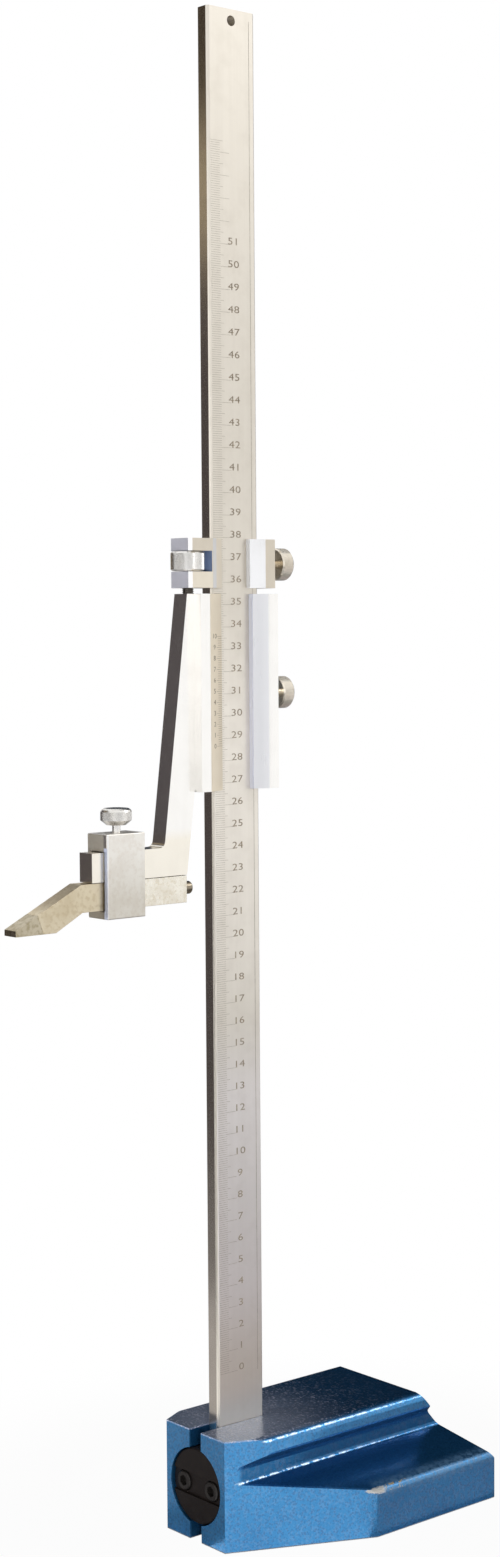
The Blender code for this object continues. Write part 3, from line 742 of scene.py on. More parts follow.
    def chips(self, board: Board, height: Wire, fine: Wire, drift: Wire) -> tuple[Wire, Wire]:
        """The ground foot, and the chipped paint at the two corners, whose pale middles are also painted
        highlights, with scattered bits beside them.

        Args:
            board: the material's nodes.
            height: the height.
            fine: fine noise that makes the chips ragged.
            drift: broad noise that does the same.

        Returns:
            Where the paint is off, and where filler shows instead of iron.
        """
        off = height.rise(*self.foot)
        filler = 0.0
        ragged = (fine - 0.5) * self.ragged[0] + (drift - 0.5) * self.ragged[1]
        scatter = board.noise(self.bits, 2.0).rise(0.53, 0.57)
        for x, y, z in self.chipped:
            across = board.axis(0).distance(x) + height.distance(z) * self.chip_depth_share
            along = board.axis(1).distance(y)
            near = (across + ragged).rise(self.chip_width, self.chip_width * self.chip_fade)
            # the pale middle of each chip is also a painted highlight
            corner = near * along.rise(*(self.chip_length * share for share in self.chip_body))
            bits = near * along.rise(*(self.chip_length * share for share in self.chip_bits))
            bits = bits * along.rise(self.chip_length, self.chip_length * self.chip_end) * scatter
            off = board.maths("MAXIMUM", off, corner + bits)
            filler = bits + filler
        return off, filler

    def material(self) -> bpy.types.Material:
        """The finish as a material.

        Returns:
            The material.
        """
        board = Board(self.name)
        out = board.axis(0).distance(0.0)
        along = board.axis(1)
        height = board.axis(2)
        dimples = board.add("TexVoronoi", {"feature": "SMOOTH_F1"},
                            {"Vector": board.place(), "Scale": self.dimples, "Smoothness": 0.35})
        drift = board.noise(self.dimples * 0.7, 3.0)
        fine = board.noise(self.dimples * 2.2, 2.0)
        pools = dimples.rise(0.66, 0.22) * drift.rise(0.36, 0.56)
        clouds = board.noise(self.clouds, 3.0).rise(0.35, 0.75)
        # painted shade: the level faces and the grooves are darkened
        shade_mask = self.lies_thick(out, along, height)
        # painted reflection and glints on the top round the beam's foot
        dust = self.dust(board, along, height)
        # rubbed wing edges, also painted lighter as a soft highlight
        rubbed = self.handling(out, along, height, drift)
        dashes = board.noise(self.dashes, 2.0).rise(0.44, 0.54) * along.rise(*self.crest_reach)
        layers = [(pools * self.pool_share, self.pooled), (clouds * self.cloud_share, self.pooled),
                  (shade_mask * self.deep_share, self.deep), (dust, self.dusty), (rubbed, self.rubbed)]
        # painted highlights along the shoulder and the groove's fillet, broken into dashes
        for x, z in self.crests:
            highlight = (out.distance(x) + height.distance(z)).rise(*self.crest_fade) * dashes
            layers.append((highlight * self.thin_share, self.thin))
        paint = self.colour
        for amount, colour in layers:
            paint = board.mix(amount, paint, colour)
        off, filler = self.chips(board, height, fine, drift)
        # the painted shade also dulls the gloss
        gloss = (1 - off) * (1 - rubbed) * (1 - shade_mask * self.thick_gloss) * drift.rise(0.47, 0.55)
        return board.surface(
            Base_Color=board.mix(off, paint, board.mix(filler, self.iron, self.filler)),
            Metallic=(1 - off) * (1 - dust) * self.flake + height.rise(*self.foot),
            Roughness=off * 0.12 + rubbed * 0.3 + fine * 0.08 + 0.26,
            Coat_Weight=gloss * self.gloss,
            Coat_Roughness=self.gloss_roughness,
            Normal=board.bump(dimples * 0.7 + drift * 0.6, self.dimple_depth, 0.5))


@dataclass(frozen=True)
class Band:
    """A stretch of a piece, between two levels along one axis, that is finished another way or painted with
    light or shade.
    """

    axis: int
    low: float
    high: float
    tint: Colour                    # multiplies the finish's own colour
    roughness: float
    metallic: float = 1.0
    soft: float = 0.00008           # the width over which it begins and ends
    within: tuple[tuple[int, float, float], ...] = ()       # other axes, and the levels it keeps to there
    border: float = 0.00008         # the width over which it ends along those

    def mask(self, board: Board) -> Wire:
        """1 inside the stretch and 0 outside.

        Args:
            board: the material's nodes.

        Returns:
            The mask.
        """
        inside = self.between(board, self.axis, self.low, self.high, self.soft)
        for axis, low, high in self.within:
            inside = inside * self.between(board, axis, low, high, self.border)
        return inside

    @staticmethod
    def between(board: Board, axis: int, low: float, high: float, soft: float) -> Wire:
        """1 between two levels along an axis and 0 outside, over a width."""
        level = board.axis(axis)
        return level.rise(low - soft, low) * level.rise(high + soft, high)


@dataclass(frozen=True)
class Steel:
    """Bare, ground or satin plated steel, with fine strokes along one way and soft stains."""

    name: str
    colour: Colour
    stained: Colour
    roughness: float
    strokes: tuple[float, float, float]     # waves a metre along X, Y and Z
    stroke_depth: float = 0.000004
    broad_share: float = 0.12   # the waves of the broad strokes, as a share of the fine ones
    broad_stain: float = 0.18
    broad_depth: float = 0.7    # their depth, as a share of the fine ones'
    uneven: float = 0.10        # how far the roughness strays
    blotches: float = 120.0     # a metre
    spots: float = 520.0
    stain: float = 0.35
    mottle: float = 0.0         # how strongly small spots show
    bands: tuple[Band, ...] = ()

    def material(self) -> bpy.types.Material:
        """The finish as a material.

        Returns:
            The material.
        """
        board = Board(self.name)
        fine = board.noise(1.0, 3.0, self.strokes, 0.6)
        broad = board.noise(1.0, 2.0, tuple(wave * self.broad_share for wave in self.strokes), 0.6)
        blotch = board.noise(self.blotches, 3.0)
        colour = board.mix(blotch.rise(0.4, 0.75) * self.stain, self.colour, self.stained)
        colour = board.mix(broad.rise(0.3, 0.7) * self.broad_stain, colour, self.stained)
        if self.mottle:
            spots = board.noise(self.spots, 4.0).rise(0.46, 0.66)
            colour = board.mix(spots * self.mottle, colour, self.stained)
        roughness = fine * self.uneven + blotch * self.uneven + (self.roughness - self.uneven)
        metallic = 1.0
        for band in self.bands:
            inside = band.mask(board)
            colour = board.mix(inside, colour, board.mix(1.0, colour, band.tint, "MULTIPLY"))
            roughness = inside * (band.roughness - self.roughness) + roughness
            if band.metallic < 1.0:
                metallic = (1 - inside) * metallic + inside * band.metallic
        return board.surface(Base_Color=colour, Metallic=metallic, Roughness=roughness,
                             Normal=board.bump(fine + broad * self.broad_depth, self.stroke_depth, 0.6))


@dataclass(frozen=True)
class Oxide:
    """Black oxide or another dark, slightly rubbed finish."""

    name: str
    colour: Colour
    rubbed: Colour
    roughness: float = 0.42
    metallic: float = 0.5
    gloss: float = 0.5
    clouds: float = 160.0       # a metre
    specks: float = 1800.0
    speck_depth: float = 0.00001
    uneven: float = 0.1         # how far the roughness strays to either side

    def material(self) -> bpy.types.Material:
        """The finish as a material.

        Returns:
            The material.
        """
        board = Board(self.name)
        speck = board.noise(self.specks, 3.0)
        cloud = board.noise(self.clouds, 3.0)
        rubbed = cloud.rise(0.45, 0.8) * 0.6 + speck.rise(0.6, 0.8) * 0.2
        colour = board.mix(rubbed, self.colour, self.rubbed)
        return board.surface(Base_Color=colour, Metallic=self.metallic, Specular_IOR_Level=self.gloss,
                             Roughness=cloud * (self.uneven * 2) + (self.roughness - self.uneven),
                             Normal=board.bump(speck, self.speck_depth, 0.4))


@dataclass(frozen=True)
class Ink:
    """The dark filling of engraved lines and numbers, a little uneven."""

    name: str
    colour: Colour
    faded: Colour
    roughness: float = 0.5
    patches: float = 500.0      # a metre

    def material(self) -> bpy.types.Material:
        """The finish as a material.

        Returns:
            The material.
        """
        board = Board(self.name)
        fade = board.noise(self.patches, 2.0).rise(0.35, 0.75)
        colour = board.mix(fade, self.colour, self.faded)
        return board.surface(Base_Color=colour, Roughness=fade * 0.2 + self.roughness)


class Finishes:
    """Every finish on the gauge, made once."""

    skin = 0.0002               # how far round a level a face's own band reaches
    even = (900.0, 900.0, 900.0)            # strokes that run no way
    beam_glows = (              # painted highlights, the paler stretches of the beam's face: low, high, softness and tint
        (0.275, 0.36, 0.07, (1.16, 1.17, 1.20)),
        (0.12, 0.195, 0.05, (1.21, 1.23, 1.36)),
    )
    step_depth = 0.0062         # how far before the slider's gib its front step lies
    step_wall = 0.0072          # how far the wall behind that step reaches
    carriage_front = (0.00012, 0.00022, 0.0015, 0.0016)     # behind its front: its end, a bevel, the prong
    carriage_window = (0.0141, 0.0057)      # the bevel of its window, before its rear face
    window_wall = (0.0001, 0.0002)          # where that window's wall ends and the bevel begins
    fork_strip = (0.0012, 0.0034)           # a cool painted reflection strip behind the fork's floor
    clamp_edge = 0.0009     # how far the rounded front edge of the clamp reaches back
    clamp_wall = 0.0024     # the front edge of its cheek, with the rounding
    clamp_head = 0.0060     # what of its height the cheek shares with the bar above
    clamp_foot = (0.001, 0.004)     # the darker foot, below and above its lowest level
    clamp_fade = 0.8        # the share of its height over which that darkening fades
    tanned = (0.02, 0.001)  # the scriber's tan: before the bar's nose, and before the clamp

    def __init__(self, flare: float, wing: float) -> None:
        """Make the finishes.

        Args:
            flare: where the base's sides become parallel, along Y.
            wing: the height of its wings' outer edge, where the paint is chipped at the flare's end, with a
                painted highlight.
        """
        low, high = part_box("base")
        chipped = ((high.x, flare, wing), (low.x, flare, wing))
        self.enamel = HammerEnamel(low, high, flare, chipped).material()
        self.satin = self.beam_chrome()
        self.plate = Steel("satin_plate", (0.85, 0.765, 0.62), (0.76, 0.68, 0.545), roughness=0.42,
                           strokes=(2500.0, 2500.0, 90.0), stain=0.3).material()
        self.carriage = self.carriage_plate()
        self.ground = Steel("ground_steel", (0.92, 0.905, 0.87), (0.74, 0.71, 0.66), roughness=0.26,
                            strokes=(2200.0, 60.0, 2200.0)).material()
        self.upright = self.slider_steel()
        self.matte = self.clamp_chrome()
        self.bar = self.scriber_bar()
        self.knurled = Steel("knurled_steel", (0.86, 0.80, 0.70), (0.58, 0.50, 0.38), roughness=0.24,
                             strokes=self.even).material()
        self.bright_knurled = Steel("bright_knurled_steel", (0.93, 0.92, 0.90), (0.70, 0.66, 0.59),
                                    roughness=0.26, strokes=self.even).material()
        self.thread = Steel("threaded_steel", (0.22, 0.20, 0.18), (0.13, 0.115, 0.10), roughness=0.32,
                            strokes=self.even).material()
        self.black = Oxide("black_oxide", (0.009, 0.0065, 0.006), (0.019, 0.015, 0.013), roughness=0.5,
                           metallic=0.0, gloss=0.22).material()
        self.socket = Oxide("black_oxide_screw", (0.022, 0.019, 0.018), (0.06, 0.055, 0.05),
                            roughness=0.38).material()
        self.carbide = Steel("carbide", (0.64, 0.57, 0.43), (0.34, 0.28, 0.16), roughness=0.32,
                             strokes=(600.0, 2000.0, 2000.0), stain=0.6, mottle=0.6).material()
        self.pin = Steel("pin_steel", (0.34, 0.29, 0.22), (0.20, 0.17, 0.13), roughness=0.30,
                         strokes=(300.0, 900.0, 300.0)).material()
        self.brass = Steel("spring_brass", (0.72, 0.52, 0.22), (0.50, 0.34, 0.13), roughness=0.35,
                           strokes=(900.0, 900.0, 90.0)).material()
        self.ink = Ink("graduation_ink", (0.35, 0.275, 0.195), (0.49, 0.41, 0.315)).material()
        self.pale_ink = Ink("line_ink", (0.36, 0.31, 0.24), (0.50, 0.45, 0.37)).material()
        self.vernier_ink = Ink("vernier_ink", (0.20, 0.145, 0.085), (0.32, 0.25, 0.16)).material()

    def beam_chrome(self) -> bpy.types.Material:
        """The satin chrome of the beam: finer on its narrow sides, with painted highlights as paler
        stretches of its face.

        Returns:
            The material.
        """
        low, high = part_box("beam")
        skin = self.skin
        sides = ((low.y - skin, low.y + skin * 2), (high.y - skin * 2, high.y + skin))
        face = ((0, high.x - skin, high.x + skin),)
        bands = [Band(1, start, end, tint=(1.0, 1.0, 1.0), roughness=0.20) for start, end in sides]
        # painted highlights on the graduated face
        bands += [Band(2, start, end, tint=tint, roughness=0.40, soft=soft, within=face)
                  for start, end, soft, tint in self.beam_glows]
        return Steel("satin_chrome", (0.80, 0.75, 0.665), (0.66, 0.61, 0.53), roughness=0.40,
                     strokes=(2500.0, 2500.0, 60.0), stain=0.3, bands=tuple(bands)).material()

    def slider_steel(self) -> bpy.types.Material:
        """The ground steel of the slider: a warmer jaw, a cool painted reflection on its front step and a
        cool painted shade on the wall behind it.

        Returns:
            The material.
        """
        skin = self.skin
        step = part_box("slider_gib")[0].y - self.step_depth
        jaw_low, jaw_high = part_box("clamp_frame")
        return Steel("ground_steel_upright", (1.0, 0.985, 0.955), (0.93, 0.91, 0.87), roughness=0.22,
                     strokes=(2200.0, 2200.0, 70.0), stain=0.12, bands=(
                         Band(2, jaw_low.z, jaw_high.z - self.clamp_head, tint=(0.985, 0.95, 0.875),
                              roughness=0.24, soft=0.007),
                         # painted reflection: the front step takes the lavender tone that it reflects
                         Band(1, step - skin, step + skin, tint=(0.84, 0.88, 1.04), roughness=0.6,
                              metallic=0.0),
                         # painted shade: the wall behind the step is darkened and cooled
                         Band(1, step + skin * 1.5, step + self.step_wall, tint=(0.93, 0.95, 1.0),
                              roughness=0.30),
                     )).material()

    def carriage_plate(self) -> bpy.types.Material:
        """The satin plate of the carriage, with painted light: a lavender painted reflection on its front,
        painted highlights on its bevels, its lower prong and a strip behind the fork, painted shade in its
        fork.

        Returns:
            The material.
        """
        low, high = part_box("carriage_body")
        nut_low, nut_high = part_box("fine_adjust_nut")
        skin = self.skin
        front, bevel, bevel_end, prong = (low.y + depth for depth in self.carriage_front)
        window, window_end = (high.y - depth for depth in self.carriage_window)
        wall, slope = (window + depth for depth in self.window_wall)
        fork = nut_high.y + CAD_GAP
        strip, strip_end = (fork + depth for depth in self.fork_strip)
        seat, seat_end = nut_low.z - CAD_GAP, nut_high.z + CAD_GAP
        return Steel("carriage_plate", (0.74, 0.675, 0.57), (0.66, 0.60, 0.50), roughness=0.42,
                     strokes=(2500.0, 2500.0, 90.0), stain=0.3, bands=(
                         # painted reflection: the front takes a dull lavender tone
                         Band(1, low.y - skin, front, tint=(0.67, 0.73, 0.97), roughness=0.6, metallic=0.0),
                         # painted shade, tinted blue, on the fork's wall beside the nut
                         Band(1, fork - skin, fork + skin, tint=(0.32, 0.47, 0.92), roughness=0.5,
                              metallic=0.2, within=((2, seat, seat_end),)),
                         # painted reflection: a cool strip behind the fork
                         Band(1, strip, strip_end, tint=(0.92, 1.00, 1.19), roughness=0.42, soft=0.0004),
                         # painted highlight: a paler lower prong
                         Band(2, low.z - skin, seat, tint=(1.18, 1.19, 1.19), roughness=0.42,
                              within=((1, prong, strip - skin * 3),)),
                         # painted highlights on the front bevels, the window's wall and its bevel
                         Band(1, bevel, bevel_end, tint=(1.31, 1.43, 1.70), roughness=0.25),
                         Band(1, window - skin, wall, tint=(1.25, 1.38, 1.68), roughness=0.6, metallic=0.0),
                         Band(1, slope, window_end, tint=(1.31, 1.44, 1.73), roughness=0.25),
                     )).material()

    def clamp_chrome(self) -> bpy.types.Material:
        """The matte chrome of the scriber clamp: darker towards its foot, with painted shade on its front,
        a cool painted reflection at its front corner and a painted highlight on its rounded front edge.

        Returns:
            The material.
        """
        low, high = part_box("clamp_frame")
        skin = self.skin
        below, above = self.clamp_foot
        cheek = high.x - self.clamp_wall
        corner = ((0, cheek + skin, high.x + skin), (2, low.z - skin, high.z - self.clamp_head))
        return Steel("matte_chrome", (1.0, 0.975, 0.92), (0.84, 0.78, 0.70), roughness=0.40,
                     strokes=(2200.0, 2200.0, 300.0), stain=0.4, mottle=0.4, bands=(
                         Band(2, low.z - below, low.z + above, tint=(0.83, 0.815, 0.78), roughness=0.46,
                              soft=(high.z - low.z) * self.clamp_fade),
                         # painted shade on the front
                         Band(1, low.y - skin, low.y + skin, tint=(0.34, 0.32, 0.29), roughness=0.6,
                              metallic=0.1, within=((0, low.x - skin, cheek),)),
                         # painted reflection: a cool tone at the front corner of the cheek
                         Band(1, low.y - skin, low.y + skin, tint=(0.66, 0.74, 1.0), roughness=0.6,
                              metallic=0.0, within=corner),
                         # painted highlight on the rounded front edge
                         Band(1, low.y + skin * 2, low.y + self.clamp_edge, tint=(1.1, 1.12, 1.2),
                              roughness=0.3),
                     )).material()

    def scriber_bar(self) -> bpy.types.Material:
        """The ground steel of the scriber, darker and warmer in front of its clamp.

        Returns:
            The material.
        """
        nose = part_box("scriber_bar")[0].y - self.tanned[0]
        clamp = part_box("clamp_frame")[0].y - self.tanned[1]
        tan = Band(1, nose, clamp, tint=(0.79, 0.72, 0.59), roughness=0.32, soft=0.010)
        return Steel("ground_bar", (1.0, 0.965, 0.87), (0.72, 0.63, 0.47), roughness=0.27,
                     strokes=(1500.0, 260.0, 700.0), mottle=0.45, bands=(tan,)).material()


@dataclass(frozen=True)
class Facet:
    """A flat face to mark: an origin on it, the way that counts across it, and the way it looks."""

    origin: Vector
    across: Vector
    normal: Vector

    @property
    def matrix(self) -> Matrix:
        """What turns marks drawn flat at the origin, X across and Y up, into marks on the face.

        Returns:
            The matrix.
        """
        up = self.normal.cross(self.across)
        turn = Matrix((self.across, up, self.normal)).transposed().to_4x4()
        return Matrix.Translation(self.origin) @ turn


@dataclass
class Marks:
    """Lines and numbers, filled with ink, on one flat face.

    They are closed shapes that stand a hair proud of the face and reach a hair into it.
    """

    facet: Facet
    thin: float = 0.00013       # how thick a line is drawn
    widen: float = 1.48         # how much wider a digit is than the font's
    spread: float = 1.04        # the room that a digit takes

    def lines(self, name: str, start: float, end: float, rows: Sequence[tuple[float, float, int]]
              ) -> bpy.types.Object:
        """Rows of equal lines, one above the other.

        Args:
            name: the piece's name.
            start: where each line begins across the face.
            end: where it ends.
            rows: for each row its first height, its spacing and its count.

        Returns:
            The lines as one flat piece.
        """
        made = []
        for first, spacing, count in rows:
            bench.clear()
            bpy.ops.mesh.primitive_cube_add(size=1, location=((start + end) / 2, first, 0),
                                            scale=(end - start, self.thin, INK_PROUD * 2))
            line = bpy.context.object
            bench.settle(line)
            if count > 1:
                bench.apply(line, "ARRAY", count=count, use_relative_offset=False, use_constant_offset=True,
                            constant_offset_displace=(0, spacing, 0))
            made.append(line)
        return bench.join(name, made)

    def numbers(self, name: str, places: Sequence[tuple[str, float, float]], height: float
                ) -> bpy.types.Object:
        """Upright numbers.

        Args:
            name: the piece's name.
            places: for each number its text, the middle of it across the face and its foot's height.
            height: the height of a digit.

        Returns:
            The numbers as one flat piece.
        """
        made = []
        for text, middle, foot in places:
            bench.clear()
            bpy.ops.object.text_add()
            number = bpy.context.object
            number.data.body = text
            number.data.size = height / DIGIT_SHARE
            number.data.space_character = self.spread
            number.data.extrude = INK_PROUD
            number.data.resolution_u = 3
            number.data.align_x = "CENTER"
            bpy.ops.object.convert(target="MESH")
            number = bpy.context.object
            bench.edit(number)
            bench.select_all()
            bpy.ops.mesh.remove_doubles(threshold=WELD)
            number = bench.leave(name)
            number.scale = (self.widen, 1, 1)
            number.location = (middle, foot, 0)
            bench.settle(number)
            made.append(number)
        return bench.join(name, made)

    def lay(self, piece: bpy.types.Object) -> bpy.types.Object:
        """Lay flat marks on the face.

        Args:
            piece: the marks, drawn flat at the origin.

        Returns:
            The marks in their place.
        """
        piece.matrix_world = self.facet.matrix
        bench.settle(piece)
        return piece


@dataclass
class Knurl:
    """A diamond knurl round a band of a turned shape."""

    radius: float
    low: float
    high: float
    pitch: float = 0.0007       # the distance between its grooves
    depth: float = 0.00013
    columns: int = field(init=False)
    rows: int = field(init=False)

    def __post_init__(self) -> None:
        """Work out whole numbers of diamonds round and along the band."""
        self.columns = 2 * round(math.tau * self.radius / self.pitch)
        self.rows = 2 * max(2, round((self.high - self.low) / self.pitch))

    @property
    def band(self) -> list[tuple[float, float]]:
        """The (radius, height) points of the band, from its low end to its high one."""
        rise = (self.high - self.low) / self.rows
        return [(self.radius, self.low + rise * row) for row in range(self.rows + 1)]

    def roll(self, piece: bpy.types.Object) -> None:
        """Press the grooves into a piece turned about Z with this band in its profile.

        Args:
            piece: the turned piece.
        """
        step = math.tau / self.columns
        rise = (self.high - self.low) / self.rows

        def groove(vert: bmesh.types.BMVert) -> bool:
            """Whether a vertex of the band lies in a groove.

            Args:
                vert: a vertex of the piece.

            Returns:
                True where it does.
            """
            across = math.hypot(vert.co.x, vert.co.y)
            inside = self.low - WELD < vert.co.z < self.high + WELD and across > self.radius - WELD
            column = round(math.atan2(vert.co.y, vert.co.x) / step)
            row = round((vert.co.z - self.low) / rise)
            return inside and (column + row) % 2 == 1

        bench.edit(piece)
        bench.select(Pick.VERTS, groove)
        bpy.ops.mesh.vert_connect()
        bench.select(Pick.VERTS, groove)
        share = 1 - self.depth / self.radius
        bpy.ops.transform.resize(value=(share, share, 1), center_override=(0, 0, 0))
        bench.leave(piece.name)


@dataclass
class BaseCasting:
    """The painted iron foot, cast with rounded edges."""

    finishes: Finishes
    low: Vector = field(init=False)     # the corners of its CAD node
    high: Vector = field(init=False)
    nose_width: float = 0.0417
    flare_length: float = 0.065
    plateau_length: float = 0.1135
    rear_edge: float = 0.0178
    shoulder_width: float = 0.060
    shoulder_radius: float = 0.0045
    shoulder_depth: float = 0.0074
    lip_radius: float = 0.0016
    groove_depth: float = 0.0069
    groove_drop: float = 0.0052
    roof_radius: float = 0.004
    floor_radius: float = 0.0026
    wing_inner: float = 0.031
    wing_outer: float = 0.0218
    wing_radius: float = 0.0034
    corner_radius: float = 0.0022
    cast_edge: float = 0.0007
    arc: int = 12               # faces round each corner of the cross-section, and of a pocket
    pocket_arc: int = 6
    bore_gap: float = 0.0005
    screw_hole: float = 0.0028  # the radius of the holes behind the clamp disc
    land: float = 0.011         # what stays of the underside round its pockets
    relief: float = 0.003
    web_share: float = 0.64     # half of what stays between the two pockets, as a share of the land
    pocket_radius: float = 0.004
    pocket_share: float = 0.3   # the most of the front pocket's length that this radius may take

    def __post_init__(self) -> None:
        """Take over the corners."""
        self.low, self.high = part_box("base")

    def section(self) -> list[Corner]:
        """The cross-section in (X, Z), right side down and left side up.

        Returns:
            Its corners in order.
        """
        high = self.high
        shoulder = self.shoulder_width / 2
        lip = high.z - self.shoulder_depth
        root = shoulder - self.groove_depth
        right = [
            Corner(shoulder, high.z, self.shoulder_radius),
            Corner(shoulder, lip, self.lip_radius),
            Corner(root, lip - self.groove_drop, self.roof_radius),
            Corner(root, self.wing_inner, self.floor_radius),
            Corner(high.x, self.wing_outer, self.wing_radius),
            Corner(high.x, 0),
        ]
        return right + [Corner(-corner.a, corner.b, corner.radius) for corner in reversed(right)]

    def plan(self) -> list[Corner]:
        """The outline from above.

        Returns:
            Its corners in order.
        """
        low, high = self.low, self.high
        nose = self.nose_width / 2
        flare = low.y + self.flare_length
        right = [Corner(nose, low.y), Corner(high.x, flare, self.corner_radius),
                 Corner(high.x, high.y, self.corner_radius)]
        return right + [Corner(-corner.a, corner.b, corner.radius) for corner in reversed(right)]

    def profile(self) -> list[Corner]:
        """The outline from the side in (Y, Z).

        Returns:
            Its corners in order.
        """
        low, high = self.low, self.high
        front = low.y - OVERRUN
        return [Corner(front, 0), Corner(high.y, 0), Corner(high.y, self.rear_edge, self.corner_radius),
                Corner(low.y + self.plateau_length, high.z, self.cast_edge), Corner(front, high.z)]

    def pockets(self, casting: bpy.types.Object, slot_end: float) -> None:
        """Cut the relieved pockets into the underside.

        Args:
            casting: the base.
            slot_end: where the beam's slot ends, along Y.
        """
        low, high = self.low, self.high
        slope = (high.x - self.nose_width / 2) / self.flare_length
        near = self.land * self.web_share
        front = slot_end + self.land
        front_half = self.nose_width / 2 + slope * (front - low.y) - self.land
        middle_half = min(self.nose_width / 2 + slope * (-near - low.y), high.x) - self.land
        rear_half = high.x - self.land
        radius = min(self.pocket_radius, (-near - front) * self.pocket_share)
        rear = [(-rear_half, near), (rear_half, near), (rear_half, high.y - self.land),
                (-rear_half, high.y - self.land)]
        fore = [(-front_half, front), (front_half, front), (middle_half, -near), (-middle_half, -near)]
        for loop in (rear, fore):
            corners = [Corner(a, b, radius) for a, b in loop]
            pocket = bench.slab("pocket", corners, Plane.PLAN, -OVERRUN, self.relief, self.pocket_arc)
            bench.combine(casting, pocket)

    def build(self) -> None:
        """Cast, machine and paint the base."""
        low, high = self.low, self.high
        beam_low, beam_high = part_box("beam")
        disc_low, disc_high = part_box("clamp_disc")
        casting = bench.slab("base_casting", self.section(), Plane.FRONT,
                             low.y - OVERRUN, high.y + OVERRUN, self.arc)
        for outline, plane, start, end in (
                (self.plan(), Plane.PLAN, -OVERRUN, high.z + OVERRUN),
                (self.profile(), Plane.SIDE, low.x - OVERRUN, high.x + OVERRUN)):
            bench.combine(casting, bench.slab("trim", outline, plane, start, end), "INTERSECT")
        bench.soften(casting, self.cast_edge, 3, CAST_SHARP)
        slot = beam_high.x + CAD_GAP
        slot_end = beam_high.y + CAD_GAP
        bench.mill(casting, (-slot, low.y - OVERRUN, -OVERRUN), (slot, slot_end, high.z + OVERRUN))
        self.pockets(casting, slot_end)
        centre = Vector((0, low.y, (disc_low.z + disc_high.z) / 2))
        radius = (disc_high.z - disc_low.z) / 2 + self.bore_gap
        seat = beam_low.y - low.y + self.bore_gap
        bench.drill(casting, radius, -seat, OVERRUN, centre, TO_FRONT, DISC_SIDES)
        for side in ("left", "right"):
            screw_low, screw_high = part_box("disc_screw_" + side)
            place = Vector(((screw_low.x + screw_high.x) / 2, low.y, centre.z))
            depth = screw_high.y - low.y
            bench.drill(casting, self.screw_hole, -depth, OVERRUN - seat, place, TO_FRONT, TAPPED_SIDES)
        bench.shade(casting)
        hand_over(casting, Body.ROOT, Slot.PAINT, self.finishes.enamel, "base")


@dataclass
class Column:
    """The flat beam with its bevelled edges and its main scale."""

    finishes: Finishes
    chamfer: float = 0.0011
    hole_diameter: float = 0.0045
    hole_inset: float = 0.0051
    edge: float = 0.00018
    zero: float = 0.0752        # height of the scale's zero above the plate
    top_line: int = 555         # the last of the millimetre lines
    last_number: int = 51       # the last number, in centimetres
    number_height: float = 0.0031
    number_middle: float = 0.0004
    line_start: float = -0.0124
    line_ends: tuple[float, float, float] = (-0.0070, -0.0052, -0.0017)     # 1 mm, 5 mm and 10 mm lines
    rule_at: float = 0.0100     # the upright line that ends the scale, across the face
    rule_width: float = 0.00022

    def body(self, low: Vector, high: Vector) -> bpy.types.Object:
        """The steel of the beam, between two corners.

        Args:
            low: the lowest corner.
            high: the highest one.

        Returns:
            The beam.
        """
        corners = []
        for x, y, swap in ((low.x, low.y, False), (high.x, low.y, True), (high.x, high.y, False),
                           (low.x, high.y, True)):
            inward_x = x - math.copysign(self.chamfer, x)
            inward_y = y + (self.chamfer if y == low.y else -self.chamfer)
            pair = [Corner(x, inward_y), Corner(inward_x, y)]
            corners += reversed(pair) if swap else pair
        beam = bench.slab("beam_column", corners, Plane.PLAN, low.z, high.z)
        bench.drill(beam, self.hole_diameter / 2, low.x - OVERRUN, high.x + OVERRUN,
                    Vector((0, (low.y + high.y) / 2, high.z - self.hole_inset)), TO_FACE, ROUND_SIDES)
        bench.soften(beam, self.edge, 2)
        bench.shade(beam)
        return beam

    def scale(self, low: Vector, high: Vector) -> None:
        """Mark lines at each millimetre, longer ones at each 5 and 10 mm, and a number each centimetre.

        Args:
            low: the beam's lowest corner.
            high: its highest corner.
        """
        middle = (low.y + high.y) / 2
        marks = Marks(Facet(Vector((high.x, middle, self.zero)), Vector((0, 1, 0)), Vector((1, 0, 0))))
        short, half, full = self.line_ends
        tens = self.top_line // 10 + 1
        fives = self.top_line // 10
        ten = MILLIMETRE * 10
        ones = [(MILLIMETRE * step, ten, tens) for step in (1, 2, 3, 4)]
        ones += [(MILLIMETRE * step, ten, fives) for step in (6, 7, 8, 9)]
        lines = [
            marks.lines("ones", self.line_start, short, ones),
            marks.lines("fives", self.line_start, half, [(MILLIMETRE * 5, ten, tens)]),
            marks.lines("tens", self.line_start, full, [(0, ten, tens)]),
        ]
        lines = marks.lay(bench.join("scale_lines", lines))
        hand_over(lines, Body.ROOT, Slot.SATIN, self.finishes.pale_ink)
        places = [(str(value), self.number_middle, ten * value) for value in range(self.last_number + 1)]
        numbers = marks.lay(marks.numbers("scale_numbers", places, self.number_height))
        hand_over(numbers, Body.ROOT, Slot.SATIN, self.finishes.ink)
        rule_marks = Marks(marks.facet, high.z - self.zero - OVERRUN)
        rule = rule_marks.lines("scale_rule", self.rule_at, self.rule_at + self.rule_width,
                                [(rule_marks.thin / 2 - OVERRUN, 0, 1)])
        hand_over(marks.lay(rule), Body.ROOT, Slot.SATIN, self.finishes.pale_ink)

    def build(self) -> None:
        """Make the beam and mark it."""
        low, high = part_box("beam")
        hand_over(self.body(low, high), Body.ROOT, Slot.SATIN, self.finishes.satin, "beam")
        self.scale(low, high)


